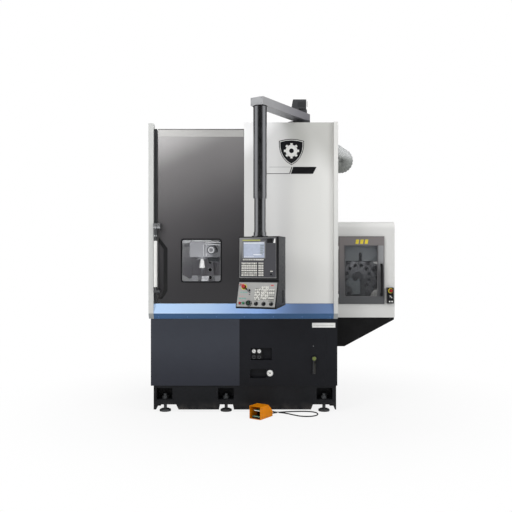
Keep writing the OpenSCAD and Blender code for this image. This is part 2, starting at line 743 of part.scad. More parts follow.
// A hollow corner post whose lower end tapers back under the belt
module post(x, w, top) translate([x, 0, 0]) difference() {
    along_x(w) polygon([[door_slot_y1, belt_low], [-2, belt_low],
        [-post_proud, belt_edge], [-post_proud, top], [door_slot_y1, top]]);
    translate([sheet, 0, 0]) along_x(w - 2 * sheet) polygon([[door_slot_y1 - sheet, belt_low - cut],
        [sheet - 1, belt_low - cut], [1.3 * sheet - post_proud, belt_edge + 2],
        [sheet - post_proud, top - sheet], [door_slot_y1 - sheet, top - sheet]]);
}

module right_casing() color("#cfd1d2") place() {
    difference() {
        block([casing_w - sheet, belt_back, belt_low], [casing_w, casing_d, roof_z]);
        // tool passage into the magazine, and the duct's hole
        block([casing_w - sheet - cut, mag_y - 300, mag_z - 200], [casing_w + cut, mag_y + 300, mag_z + 420]);
        translate([casing_w - sheet - cut, duct_y, duct_z]) rotate([0, 90, 0])
            cylinder(r = duct_r - 12, h = sheet + 2 * cut);
    }
    post(casing_w - right_post_w, right_post_w, cover_top);
}

module rear_panel() color("#c4c6c7") place() difference() {
    block([sheet, casing_d - sheet, base_top + 6], [casing_w - sheet, casing_d, roof_under]);
    for (z = [roof_z - 520 : 40 : roof_z - 240])
        block([spindle_x + 200, casing_d - sheet - cut, z], [spindle_x + 700, casing_d + cut, z + 16]);
}

// The roof, with the post of the pendant arm on it
module roof_panel() color("#d5d7d8") place() {
    block([sheet, frame_y0, roof_under], [casing_w - sheet, casing_d, roof_z]);
    translate([pivot_x, pivot_y, roof_z - cut]) {
        cylinder(d = post_d + 28, h = 20 + cut);
        cylinder(d = post_d, h = arm_low - roof_z + cut);
        translate([0, 0, arm_low - roof_z]) cylinder(d = pin_post_d, h = 60 + cut);
    }
}
pin_post_d = 90;

module front_cover() color("#dedfdd") place() {
    x1 = casing_w - right_post_w - 1;
    r = 8;
    difference() {
        translate([0, 0, belt_top + 2]) linear_extrude(cover_top - belt_top - 2) difference() {
            union() {
                block2([cover_left + r, 0], [x1, sheet]);
                translate([cover_left + r, r]) intersection() {
                    circle(r);
                    translate([-r, -r]) square(r);
                }
            }
            translate([cover_left + r, r]) circle(r - sheet);
        }
    }
    block([cover_left + sheet, sheet, cover_top - sheet], [x1, frame_y0 + tube_s, cover_top]);
    block([cover_left + sheet, frame_y0 + tube_s - sheet, roof_z], [x1, frame_y0 + tube_s, cover_top - sheet]);
    block([cover_left + sheet, sheet, roof_z + 20], [cover_left + 2 * sheet, frame_y0 + tube_s - sheet, cover_top - sheet]);
}

module block2(a, b) translate(a) square(b - a);

module belt_cover() color("#8fb0e8") place() translate([left_post_w, 0, 0]) difference() {
    along_x(casing_w - right_post_w - left_post_w)
        polygon([[belt_back, belt_low], [-2, belt_low], [-belt_out, belt_edge],
            [-4, belt_top], [belt_back, belt_top]]);
    translate([sheet, 0, 0]) along_x(casing_w - right_post_w - left_post_w - 2 * sheet)
        polygon([[belt_back + cut, belt_low + sheet], [sheet, belt_low + sheet],
            [1.4 * sheet - belt_out, belt_edge], [-4, belt_top - 2 * sheet], [belt_back + cut, belt_top - 2 * sheet]]);
}

gauge_box = [[seam_x + 125, base_top + 288], [seam_x + 358, base_top + 421]];
dial_box = [[seam_x + 114, base_top + 88], [seam_x + 298, base_top + 188]];
recess_d = 60;

module lower_left_panel() color("#3a3d45") place() {
    block([lower_x0, 0, base_top + 2], [seam_x - seam_gap / 2, sheet, belt_low - 2]);
    block([lower_x0, sheet, base_top + 2], [lower_x0 + sheet, casing_d - 2 * sheet, belt_low - 2]);
}

module lower_right_panel() color("#1f2125") place() {
    difference() {
        union() {
            block([seam_x + seam_gap / 2, 0, base_top + 2], [casing_w - sheet, sheet, belt_low - 2]);
            for (b = [gauge_box, dial_box])
                block([b[0][0] - sheet, sheet - cut, b[0][1] - sheet],
                    [b[1][0] + sheet, recess_d, b[1][1] + sheet]);
        }
        for (b = [gauge_box, dial_box])
            block([b[0][0], -cut, b[0][1]], [b[1][0], recess_d - sheet, b[1][1]]);
    }
    block([casing_w - 2 * sheet, sheet, base_top + 2], [casing_w - sheet, casing_d - 2 * sheet, belt_low - 2]);
}

// ---- Door -----------------------------------------------------------------

stiffener_x = [door_left + 120, door_right - 200];
stiffener_w = 60;
carriage_l = 130;
sill_rail_z = chamber_z + 8;

module door_panel() color("#6b686a") place() difference() {
    union() {
        difference() {
            block([door_left, door_y, door_z0], [door_right, door_y + door_t, door_top]);
            block([door_left + sheet, door_y + sheet, door_z0 + sheet],
                [door_right - sheet, door_y + door_t + cut, door_top - sheet]);
        }
        for (x = stiffener_x) block([x, door_y + sheet - cut, door_z0],
            [x + stiffener_w, door_y + door_t, door_top]);
        block([window_x - 24, door_y + sheet - cut, window_z - 24],
            [window_x + window_w + 24, door_y + door_t, window_z + window_h + 24]);
        // floor of the grip recess
        translate([0, door_y + sheet - cut, 0]) along_y(grip_depth) grip_recess(sheet);
    }
    block([window_x, door_y - cut, window_z], [window_x + window_w, door_y + door_t + cut, window_z + window_h]);
    block([window_x - 12, door_y + sheet, window_z - 12],
        [window_x + window_w + 12, door_y + door_t + cut, window_z + window_h + 12]);
    translate([0, door_y - cut, 0]) along_y(grip_depth) grip_recess(0);
}

grip_depth = 26;
grip_z0 = 1259;
grip_z1 = 1959;

module grip_recess(wall) polygon([
    [door_left - (wall == 0 ? cut : 0), grip_z1 + wall], [door_left + 105 + wall, grip_z1 - 134 + wall],
    [door_left + 105 + wall, grip_z0 + 89 - wall], [door_left + 46 + wall, grip_z0 - wall],
    [door_left - (wall == 0 ? cut : 0), grip_z0 - wall]]);

// Two carriages on the top rail and two below the door on the sill rail
module door_carriages() color("#515458") place() for (x = stiffener_x) {
    c = x + stiffener_w / 2;
    difference() {
        union() {
            block([c - carriage_l / 2, door_y + door_t, sill_rail_z - 14],
                [c + carriage_l / 2, frame_y0 - 2, sill_rail_z + rail_h + 14]);
            block([c - stiffener_w / 2, door_y + door_t, sill_rail_z + rail_h],
                [c + stiffener_w / 2, door_y + door_t + 5, door_z0 + 70]);
            block([c - carriage_l / 2, door_y + door_t, rail_z[1] - 14],
                [c + carriage_l / 2, frame_y0 - 2, rail_z[1] + rail_h + 14]);
        }
        for (z = [sill_rail_z, rail_z[1]])
            block([c - carriage_l, frame_y0 - rail_t - fit_gap, z - fit_gap],
                [c + carriage_l, frame_y0, z + rail_h + fit_gap]);
    }
}

module door_window_frame() color("#161616") place()
    translate([window_x + window_w / 2, door_y, window_z + window_h / 2])
        rotate([90, 0, 0]) linear_extrude(3) difference() {
            round_rect(window_w + 2 * window_rim, window_h + 2 * window_rim, 34);
            round_rect(window_w, window_h, 20);
        }

module door_glass() color([0.7, 0.8, 0.8, 0.35]) place()
    block([window_x - 9, door_y + sheet, window_z - 9],
        [window_x + window_w + 9, door_y + sheet + 8, window_z + window_h + 9]);

module door_handle() color("#cfd0d0") place() {
    bar_y = door_y - 68;
    translate([handle_x, bar_y, grip_z0 + 76]) cylinder(d = 22, h = grip_z1 - grip_z0 + 60);
    translate([handle_x, bar_y, grip_z0 + 133]) cylinder(d = 38, h = 513);
    translate([handle_x, bar_y, grip_z1 - 4]) cylinder(d = 34, h = 78);
    block([handle_x - 22, bar_y - 16, grip_z1 + 74], [door_left + 36, bar_y + 16, grip_z1 + 137]);
    block([door_left + 4, bar_y + 15, grip_z1 + 74], [door_left + 36, door_y, grip_z1 + 137]);
    block([handle_x - 12, bar_y - 11, grip_z0 + 76], [door_left + 30, bar_y + 11, grip_z0 + 100]);
    block([door_left + 4, bar_y + 10, grip_z0 + 76], [door_left + 30, door_y + grip_depth - 1, grip_z0 + 100]);
}

module work_lamp() color("#f4f6f6") place() {
    wall = chamber_y1 - sheet;
    block([wall_x0 + 60, wall - 44, lamp_z - 20], [spindle_x + 60, wall, lamp_z + 20]);
    block([wall_x0 + 70, wall - 52, lamp_z - 14], [spindle_x + 50, wall - 43, lamp_z + 14]);
}

// ---- Gauges on the lower right panel --------------------------------------

module facing_disc(x, y0, y1, z, d) translate([x, y0, z]) rotate([-90, 0, 0]) cylinder(d = d, h = y1 - y0);

gauge_x = [gauge_box[0][0] + 33, gauge_box[0][0] + 91];

// Pressure gauges over regulator knobs, a dial, and a sight gauge with its cap
module front_gauges() color("#e6e8e8") place() {
    back = recess_d - sheet;
    knob_z = gauge_box[0][1] + 34;
    dial = [dial_box[1][0] + 38, base_top + 144];
    block([gauge_box[0][0] + 4, 22, gauge_box[0][1] + 8],
        [gauge_box[0][0] + 128, back, gauge_box[1][1] - 8]);
    for (x = gauge_x) {
        facing_disc(x, 2, 23, gauge_box[1][1] - 35, 52);
        facing_disc(x, 4, 23, knob_z, 46);
        facing_disc(x, -12, 5, knob_z, 36);
    }
    difference() {
        facing_disc(dial[0], -14, 0, dial[1], 78);
        facing_disc(dial[0], -15, -11, dial[1], 66);
    }
    block([seam_x + 808, -20, belt_low - 613], [seam_x + 842, 0, belt_low - 458]);
    facing_disc(seam_x + 825, -34, 0, belt_low - 438, 46);
}

// ---- Pendant --------------------------------------------------------------

module on_arm() place() translate([tube_x, tube_y, 0]) children();

// The box arm on the post, with the upper tube bolted under its far end
module pendant_arm() {
    color("#c4c6c8") place() difference() {
        translate([tube_x, tube_y, arm_low]) rotate(arm_angle + 180)
            block([-arm_over, -arm_w / 2, 0], [arm_len + arm_tail, arm_w / 2, arm_h]);
        translate([pivot_x, pivot_y, arm_low - cut]) cylinder(d = pin_post_d + 2 * run_gap, h = 63);
    }
    color("#2a2a2c") on_arm()
        translate([0, 0, tube_split]) cylinder(d = upper_tube_d, h = arm_low - tube_split);
}

module lower_tube() color("#2a2a2c") on_arm() {
    translate([0, 0, panel_top]) cylinder(d = lower_tube_d, h = tube_split - panel_top);
    translate([0, 0, panel_top]) cylinder(d = upper_tube_d + 30, h = 10);
    translate([0, 0, panel_top]) cylinder(d = lower_tube_d + 14, h = 46);
}

// The panel's own frame: X to its right, Y to its back, origin on the tube
module on_panel() on_arm() rotate(panel_yaw) children();

panel_x0 = 25 - panel_w / 2;
panel_x1 = 25 + panel_w / 2;
face_y = -panel_d / 2;
foot_edge_y = face_y - console_out;

module panel_housing() color("#3a3b3e") on_panel() difference() {
    translate([panel_x0, 0, 0]) along_x(panel_w) polygon([
        [panel_d / 2, panel_top], [face_y, panel_top], [face_y, plate_low - 6],
        [face_y + 10, plate_low - 18], [face_y + 10, console_top + 4], [face_y - 10, console_top],
        [foot_edge_y, console_low + 14], [foot_edge_y + 10, console_low], [panel_d / 2, console_low + 25]]);
    // slot handle in the right side
    block([panel_x1 - 12, 10, console_low + 50], [panel_x1 + cut, 44, console_low + 180]);
}

// The sloping console: X to the right, Y up the slope, Z out of the face
module on_console() on_panel() translate([0, foot_edge_y, console_low + 14])
    rotate([90 - slope_angle, 0, 0]) children();
slope_rise = console_top - console_low - 14;
slope_angle = atan2(console_out - 10, slope_rise);
slope_len = sqrt(pow(console_out - 10, 2) + pow(slope_rise, 2));

module panel_face() color("#8e9092") {
    on_panel() difference() {
        block([panel_x0 + 8, face_y - 4, plate_low], [panel_x1 - 26, face_y, panel_top - 12]);
        block([screen_x0, face_y - 5, screen_z0], [screen_x1, face_y + cut, screen_z1]);
    }
    on_console() block([panel_x0 + 10, 8, 0], [panel_x1 - 14, slope_len - 8, 3]);
}
screen_x0 = panel_x0 + 50;
screen_x1 = screen_x0 + 228;
screen_z1 = panel_top - 57;
screen_z0 = screen_z1 - 160;

module panel_screen() color("#b9c6d8") on_panel()
    block([screen_x0 + fit_gap, face_y - 2, screen_z0 + fit_gap], [screen_x1 - fit_gap, face_y, screen_z1 - fit_gap]);

module panel_keys() color("#e4e5e3") {
    on_panel() {
        for (i = [0 : 9]) block([screen_x0 - 6 + i * 23, face_y - 7, screen_z0 - 26],
            [screen_x0 + 12 + i * 23, face_y - 4, screen_z0 - 14]);
        for (row = [0 : 5]) {
            for (i = [0 : 8]) block([panel_x0 + 30 + i * 19, face_y - 7, plate_low + 28 + row * 24],
                [panel_x0 + 45 + i * 19, face_y - 4, plate_low + 44 + row * 24]);
            for (i = [0 : 2]) block([panel_x0 + 214 + i * 19, face_y - 7, plate_low + 28 + row * 24],
                [panel_x0 + 229 + i * 19, face_y - 4, plate_low + 44 + row * 24]);
        }
    }
    on_console() for (g = [[190, 3, 4], [258, 4, 5], [342, 3, 4]]) for (i = [0 : g[1] - 1], row = [0 : g[2] - 1])
        block([panel_x0 + g[0] + i * 20, 92 + row * 28, 3], [panel_x0 + g[0] + 15 + i * 20, 108 + row * 28, 6]);
}

stop_at = [panel_x0 + 67, slope_len - 54, 3];
stop_stem_d = 26;

module stop_button() color("#c1272d") on_console() translate(stop_at) {
    translate([0, 0, 6]) cylinder(d = stop_stem_d, h = 13);
    translate([0, 0, 18]) cylinder(d1 = 40, d2 = 36, h = 16);
}

module handwheel() color("#151617") on_console() translate([panel_x0 + 138, 40, 3.3]) {
    cylinder(d = 64, h = 12);
    translate([0, 0, 12]) cylinder(d = 52, h = 8);
    translate([20, 0, 19]) cylinder(d = 12, h = 18);
}

module panel_knobs() color("#1b1c1e") on_console() {
    for (x = [217, 297, 377]) translate([panel_x0 + x, 38, 3]) {
        cylinder(d = 34, h = 8);
        translate([-5, -16, 8]) cube([10, 32, 14]);
    }
    for (x = [44, 80]) translate([panel_x0 + x, 40, 3]) cylinder(d = 26, h = 12);
    translate([panel_x0 + 127, slope_len - 90, 3]) cylinder(d = 26, h = 16);
    translate(stop_at) tube(44, stop_stem_d + 2 * run_gap, 0, 12);
}

// ---- Tool magazine --------------------------------------------------------

module atc_profile(inset) {
    y0 = atc_y + inset;
    z1 = atc_top - inset;
    difference() {
        polygon([[y0, atc_low + inset], [y0, z1 - 20], [y0 + 20, z1],
            [atc_y1 - inset, z1], [atc_y1 - inset, atc_low + inset]]);
        difference() {
            translate([y0 - cut, z1 - atc_round]) square(atc_round + cut);
            translate([y0 + atc_round, z1 - atc_round]) circle(atc_round);
            translate([y0 + atc_round, z1 - 2 * atc_round]) square(2 * atc_round + 2);
        }
    }
}

// The magazine's cabinet, with the fixed leaves and pins of its door hinges
module atc_cabinet() color("#cbcccb") place() {
    difference() {
        translate([casing_w, 0, 0]) along_x(atc_x1 - casing_w) atc_profile(0);
        translate([casing_w - cut, 0, 0]) along_x(atc_x1 - casing_w - sheet + cut) atc_profile(sheet);
        block([atc_door_x0 + 14, atc_y - cut, atc_door_z0 + 14],
            [atc_door_x1 - 14, atc_y + sheet + cut, atc_door_z1 - 14]);
    }
    atc_hinges();
}

module atc_support() color("#1d1d1e") place() difference() {
    translate([0, atc_y + 20, 0]) along_y(atc_d - 60) polygon([
        [casing_w, support_low], [support_x1, support_low], [atc_x1 - 4, atc_low - 26],
        [atc_x1 - 4, atc_low], [casing_w, atc_low]]);
    translate([0, atc_y + 20 + 6, 0]) along_y(atc_d - 72) polygon([
        [casing_w - cut, support_low + 6], [support_x1 - 2, support_low + 6],
        [atc_x1 - 70, atc_low - 60], [casing_w - cut, atc_low - 60]]);
}

module on_magazine() place() translate([mag_x, mag_y, mag_z]) rotate([90, 0, 0]) children();

module atc_magazine() color("#a9adb1") on_magazine() {
    linear_extrude(mag_t) difference() {
        union() {
            circle(r = station_r + 20);
            for (i = [0 : stations - 1]) rotate(i * 360 / stations) translate([station_r, 0]) circle(d = 84);
        }
        for (i = [0 : stations - 1]) rotate(i * 360 / stations + 180 / stations)
            translate([station_r * 0.6, 0]) circle(d = 44);
    }
    for (i = [0 : stations - 1]) rotate(i * 360 / stations) translate([station_r, 0, 0])
        rotate_extrude() polygon([
            [0, mag_t - 6],
            [31, mag_t - 6],
            [31, mag_t + 26],
            [27, mag_t + 26],
            [15, mag_t + 76],
            [7 + 2 * (i % 3), mag_t + 76],
            [7 + 2 * (i % 3), mag_t + 116 + 16 * (i % 4)],
            [0, mag_t + 116 + 16 * (i % 4)]
        ]);
    translate([0, 0, mag_t - 6]) cylinder(d = 120, h = 36);
    translate([0, 0, -160]) cylinder(d = 70, h = 166);
}

module atc_magazine_drive() color("#5a5e63") place() {
    difference() {
        union() {
            block([mag_x - 110, mag_y + 60, atc_low + sheet], [mag_x + 110, mag_y + 200, mag_z - 60]);
            translate([mag_x, mag_y + 60, mag_z]) rotate([-90, 0, 0]) cylinder(d = 220, h = 140);
            block([mag_x - 80, mag_y + 199, mag_z - 80], [mag_x + 80, mag_y + 420, mag_z + 80]);
            block([mag_x - 170, mag_y - 20, atc_low + sheet], [mag_x + 170, mag_y + 260, atc_low + sheet + 24]);
        }
        translate([mag_x, mag_y + 60 - cut, mag_z]) rotate([-90, 0, 0])
            cylinder(d = 70 + 2 * run_gap, h = 110);
    }
    // guard plate above the tools, hung from the cabinet's front
    block([atc_x + 20, atc_y + 60, mag_z + station_r + 60], [atc_x1 - 90, atc_y + 64, atc_door_z1 - 60]);
    block([atc_x + 20, atc_y + sheet, atc_door_z1 - 64], [atc_x1 - 90, atc_y + 64, atc_door_z1 - 60]);
}

module atc_door() color("#58595b") place() {
    difference() {
        block([atc_door_x0, atc_y - atc_door_t - 1, atc_door_z0], [atc_door_x1, atc_y - 1, atc_door_z1]);
        block([atc_glass_x0, atc_y - atc_door_t - 2, atc_glass_z0], [atc_glass_x1, atc_y, atc_glass_z1]);
        block([atc_glass_x0 - 12, atc_y - 13, atc_glass_z0 - 12], [atc_glass_x1 + 12, atc_y, atc_glass_z1 + 12]);
    }
    for (z = hinge_z) difference() {
        union() {
            translate([hinge_x, hinge_y, z + 41]) cylinder(d = hinge_d, h = 39);
            block([hinge_x, hinge_y - 3, z + 41], [atc_door_x0 + cut, hinge_y + 3, z + 80]);
        }
        translate([hinge_x, hinge_y, z + 40]) cylinder(d = pin_d + 2 * run_gap, h = 41);
    }
    // bow handle
    x = atc_door_x1 - 36;
    z0 = atc_door_z0 + 88;
    z1 = z0 + 378;
    y = atc_y - atc_door_t - 1;
    block([x - 11, y - 44, z0 + 14], [x + 11, y - 28, z1 - 14]);
    for (z = [z0, z1 - 34]) block([x - 11, y - 32, z], [x + 11, y + cut, z + 34]);
}
hinge_z = [atc_door_z0 + 70, atc_door_z1 - 150];

module atc_hinges() for (z = hinge_z) {
    translate([hinge_x, hinge_y, z]) cylinder(d = hinge_d, h = 40.6);
    translate([hinge_x, hinge_y, z + 40]) cylinder(d = pin_d, h = 44);
    block([hinge_x - hinge_d / 2, hinge_y, z], [hinge_x + 3, atc_y, z + 40.6]);
}

module atc_door_glass() color([0.6, 0.65, 0.68, 0.35]) place()
    block([atc_glass_x0 - 11.5, atc_y - 12.5, atc_glass_z0 - 11.5],
        [atc_glass_x1 + 11.5, atc_y - 6, atc_glass_z1 + 11.5]);

module atc_button_box() color("#3c3527") place() {
    x0 = atc_door_x1 + 30;
    z0 = atc_door_z0 + 2;
    block([x0, atc_y - 58, z0], [x0 + 74, atc_y, z0 + 186]);
    for (dx = [24, 52]) facing_disc(x0 + dx, atc_y - 66, atc_y - 57, z0 + 24, 18);
    facing_disc(x0 + 37, atc_y - 68, atc_y - 57, z0 + 80, 30);
    facing_disc(x0 + 37, atc_y - 76, atc_y - 57, z0 + 150, 26);
    facing_disc(x0 + 37, atc_y - 92, atc_y - 75, z0 + 150, 44);
}

// ---- Mist extractor on the roof, with its duct ----------------------------

duct_y = 1200;
duct_z = 2897;
duct_r = 78;
duct_bend_r = 84;
duct_out = 186;
duct_turn = 146;
duct_rise = 150;
duct_rings = 72;
extractor_x = casing_w - 370;
extractor_y = 1000;

// Arc length of the duct's three stretches
duct_arc = duct_bend_r * duct_turn * PI / 180;
duct_len = duct_out + duct_arc + duct_rise;

// Point and heading of the duct's axis at a length s from the side panel
function duct_point(s) =
    s < duct_out ? [s, 0, 0] :
    s < duct_out + duct_arc ? let (a = (s - duct_out) / duct_bend_r * 180 / PI)
        [duct_out + duct_bend_r * sin(a), duct_bend_r * (1 - cos(a)), a] :
    let (t = s - duct_out - duct_arc)
        [duct_out + duct_bend_r * sin(duct_turn) + t * cos(duct_turn),
            duct_bend_r * (1 - cos(duct_turn)) + t * sin(duct_turn), duct_turn];
function duct_radius(i) = duct_r - (i % 3 == 1 ? 7 : 0);

module mist_duct() color("#8d9092") place() translate([casing_w, duct_y, duct_z]) {
    sides = 24;
    ring_points = [for (i = [0 : duct_rings]) let (p = duct_point(i * duct_len / duct_rings), r = duct_radius(i))
        for (k = [0 : sides - 1]) let (b = k * 360 / sides, u = r * cos(b))
            [p[0] - u * sin(p[2]), r * sin(b), p[1] + u * cos(p[2])]];
    polyhedron(ring_points, concat(
        [[for (k = [0 : sides - 1]) k]],
        [for (i = [0 : duct_rings - 1], k = [0 : sides - 1]) let (a = i * sides, n = (k + 1) % sides)
            [a + k, a + sides + k, a + sides + n, a + n]],
        [[for (k = [sides - 1 : -1 : 0]) duct_rings * sides + k]]));
}

duct_end = duct_point(duct_len);

// Drum on the roof, a neck on it and the tapered motor box on the neck
module mist_extractor() color("#3b3d40") place() translate([extractor_x, extractor_y, roof_z]) {
    cylinder(d = extractor_d, h = extractor_h - neck_h - motor_h);
    cylinder(d = extractor_d + 40, h = 16);
    translate([neck_dx, 0, extractor_h - neck_h - motor_h - cut]) {
        cylinder(d = 104, h = neck_h + 2 * cut);
        translate([0, 0, 62]) cylinder(d = 134, h = 16);
        cylinder(d = 134, h = 20);
    }
    translate([0, -85, extractor_h - motor_h]) along_y(170) polygon([
        [-92, 6], [-86, 0], [92, 0], [92, motor_h - 4], [88, motor_h], [-70, motor_h], [-75, motor_h - 5]]);
}
neck_dx = 56;
neck_h = 168;
motor_h = 113;

// ---- Foot switch ----------------------------------------------------------

module on_pedal() place() translate([pedal_x, pedal_y, 0]) rotate(guard_yaw) children();

module guard_profile(t) polygon([
    [t == 0 ? 0 : -cut, t], [t == 0 ? 0 : -cut, guard_h - t], [150 - t / 2, guard_h - t],
    [200 - t / 2, guard_h - 42 - t], [guard_l - t, guard_h - 82 - t], [guard_l - t, t]]);

module pedal_guard() color("#d98612") on_pedal() {
    difference() {
        translate([-guard_w / 2, 0, 0]) along_x(guard_w) guard_profile(0);
        translate([guard_t - guard_w / 2, 0, 0]) along_x(guard_w - 2 * guard_t) guard_profile(guard_t);
        translate([0, guard_l - 10, 24]) rotate([-90, 0, 0]) cylinder(d = 16, h = 20);
    }
}

module pedal_base() color("#2f4a3c") on_pedal() {
    block([-52, 24, guard_t], [52, guard_l - 14, 22]);
    for (x = [-52, 44]) block([x, treadle_y - 18, 21], [x + 8, treadle_y + 18, treadle_z + 10]);
    translate([-53, treadle_y, treadle_z]) rotate([0, 90, 0]) cylinder(d = 8, h = 106);
    translate([0, guard_l - 15, 24]) rotate([-90, 0, 0]) cylinder(d = 15, h = 15 + gland_out);
}

module pedal_treadle() color("#2f6b4f") on_pedal() difference() {
    translate([0, treadle_y, treadle_z]) rotate([-6, 0, 0]) union() {
        block([-40, -112, 6], [40, 14, 16]);
        rotate([0, 90, 0]) translate([0, 0, -40]) cylinder(d = 24, h = 80);
        for (y = [-100 : 16 : -20]) block([-38, y, 15], [38, y + 6, 18]);
    }
    translate([-54, treadle_y, treadle_z]) rotate([0, 90, 0]) cylinder(d = 8 + 2 * run_gap, h = 108);
}

// Route of the foot switch cable: out of the gland, round a loop that is
// tied once, and up under the base
cable_d = 13;
cable_route = [[1315, -119, 24], [1337, -88, 16], [1366, -62, 7], [1400, -46, 7], [1432, -36, 7],
    [1480, -48, 7], [1540, -92, 7], [1600, -150, 7], [1664, -200, 7], [1730, -216, 7],
    [1790, -208, 7], [1838, -172, 7], [1862, -118, 7], [1858, -58, 7], [1826, -12, 7],
    [1770, 14, 7], [1700, 20, 7], [1620, 14, 7], [1540, 2, 7], [1480, -12, 7],
    [1432, -20, 7], [1392, -4, 7], [1366, 36, 7], [1354, 78, 8], [1348, 112, 15],
    [1346, 138, 34], [1345, 149, 56], [1345, 151, 78]];
cable_end_z = 78;
cable_gland_d = 24;
cable_sides = 8;

// Catmull-Rom point between route points i and i + 1
function route_at(i) = cable_route[max(0, min(len(cable_route) - 1, i))];
function cable_point(i, t) = let (a = route_at(i - 1), b = route_at(i), c = route_at(i + 1), d = route_at(i + 2))
    0.5 * (2 * b + (c - a) * t + (2 * a - 5 * b + 4 * c - d) * t * t + (3 * b - a - 3 * c + d) * t * t * t);
cable_points = [for (i = [0 : len(cable_route) - 2], t = [0, 0.35, 0.7]) cable_point(i, t), cable_route[len(cable_route) - 1]];
function unit(v) = v / norm(v);
function cable_dir(i) = unit(cable_points[min(len(cable_points) - 1, i + 1)] - cable_points[max(0, i - 1)]);

module pedal_cable() color("#2c2c2e") place() {
    n = len(cable_points);
    points = [for (i = [0 : n - 1]) let (d = cable_dir(i), side = unit(cross(d, [0.03, 0.02, 1])), up = cross(side, d))
        for (k = [0 : cable_sides - 1]) cable_points[i]
            + (side * cos(k * 360 / cable_sides) + up * sin(k * 360 / cable_sides)) * cable_d / 2];
    polyhedron(points, concat(
        [[for (k = [cable_sides - 1 : -1 : 0]) k]],
        [for (i = [0 : n - 2], k = [0 : cable_sides - 1]) let (a = i * cable_sides, m = (k + 1) % cable_sides)
            [a + k, a + m, a + cable_sides + m, a + cable_sides + k]],
        [[for (k = [0 : cable_sides - 1]) (n - 1) * cable_sides + k]]));
}

base_casting();
base_front_beam();
base_rear_beam();
levelling_feet();
bed();
column();
headstock();
spindle_bearings();
spindle();
chuck_body();
jaw_1();
jaw_2();
jaw_3();
motor_pulley();
drive_belt();
spindle_motor();
x_rails();
saddle();
ram();
tool_head();
boring_tool();
enclosure_frame();
chamber_walls();
left_casing();
right_casing();
rear_panel();
roof_panel();
front_cover();
belt_cover();
lower_left_panel();
lower_right_panel();
front_gauges();
door_panel();
door_carriages();
door_window_frame();
door_glass();
door_handle();
work_lamp();
pendant_arm();
lower_tube();
panel_housing();
panel_face();
panel_screen();
panel_keys();
stop_button();
handwheel();
panel_knobs();
atc_cabinet();
atc_support();
atc_magazine();
atc_magazine_drive();
atc_door();
atc_door_glass();
atc_button_box();
mist_extractor();
mist_duct();
pedal_guard();
pedal_base();
pedal_treadle();
pedal_cable();
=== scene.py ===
"""Looks of the vertical lathe: materials, small pieces, lights and the camera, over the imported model."""

import math
from itertools import product

import bmesh
import bpy
from mathutils import Matrix, Vector


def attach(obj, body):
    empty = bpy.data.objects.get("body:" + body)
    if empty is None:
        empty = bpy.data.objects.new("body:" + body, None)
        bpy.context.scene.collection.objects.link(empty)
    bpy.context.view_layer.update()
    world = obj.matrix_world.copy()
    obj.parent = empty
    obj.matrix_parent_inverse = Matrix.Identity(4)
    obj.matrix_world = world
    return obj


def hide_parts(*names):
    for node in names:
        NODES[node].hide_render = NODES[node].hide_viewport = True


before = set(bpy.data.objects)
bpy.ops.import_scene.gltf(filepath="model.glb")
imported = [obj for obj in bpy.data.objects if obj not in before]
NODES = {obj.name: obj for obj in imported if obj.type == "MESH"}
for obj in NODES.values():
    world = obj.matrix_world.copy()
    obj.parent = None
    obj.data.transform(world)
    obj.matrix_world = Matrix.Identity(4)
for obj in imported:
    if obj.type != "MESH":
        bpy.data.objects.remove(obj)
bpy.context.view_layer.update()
SCENE = bpy.context.scene

X, Y, Z = (1, 0, 0), (0, 1, 0), (0, 0, 1)
FRONT = (0, -1, 0)
LEFT = (-1, 0, 0)
DOWN = (0, 0, -1)
IDENTITY = Matrix.Identity(4)

# Casing millimetres: x from the casing's left side, y back from its front, z up from the floor.
X_MID = 1406.5
Y_MID = 590.0
W, D, TOP = 2095.0, 1950.0, 3145.0  # casing width, depth and roof height
SHARP = 0.6  # radians between faces, past which an edge is bevelled
SMOOTH_BELOW = math.radians(32)


def P(x, y, z):
    """A point in casing millimetres as metres in the row frame."""
    return Vector(((x - X_MID) / 1000, (y - Y_MID) / 1000, z / 1000))


def shift(x, y, z):
    return Matrix.Translation(Vector((x, y, z)))


def spin(degrees, axis="Z"):
    return Matrix.Rotation(math.radians(degrees), 4, axis)


def around(origin, degrees, axis="Y"):
    """A turn about an axis through a point, in casing millimetres."""
    t = shift(*origin)
    return t @ spin(degrees, axis) @ t.inverted()


def circle(n, r=1.0, start=0.0):
    """n points on a circle, as pairs, from start in degrees."""
    angles = [2 * math.pi * k / n + math.radians(start) for k in range(n)]
    return [(r * math.cos(a), r * math.sin(a)) for a in angles]


def srgb(text):
    """A written sRGB colour as linear RGBA."""
    out = []
    for i in (1, 3, 5):
        c = int(text[i : i + 2], 16) / 255
        out.append(c / 12.92 if c <= 0.04045 else ((c + 0.055) / 1.055) ** 2.4)
    return (*out, 1.0)


def shade(c, k):
    return (*(min(1, v * k) for v in c[:3]), 1.0)


# ---- camera
cam_data = bpy.data.cameras.new("camera")
cam_data.lens = 45.6
cam_data.sensor_width = 36.0
cam_data.shift_y = 0.0117
cam_data.clip_start = 0.1
cam_data.clip_end = 100.0
camera = bpy.data.objects.new("camera", cam_data)
camera.location = (-0.2185, -7.79, 1.67)
camera.rotation_euler = (math.radians(90), 0, 0)
SCENE.collection.objects.link(camera)
SCENE.camera = camera


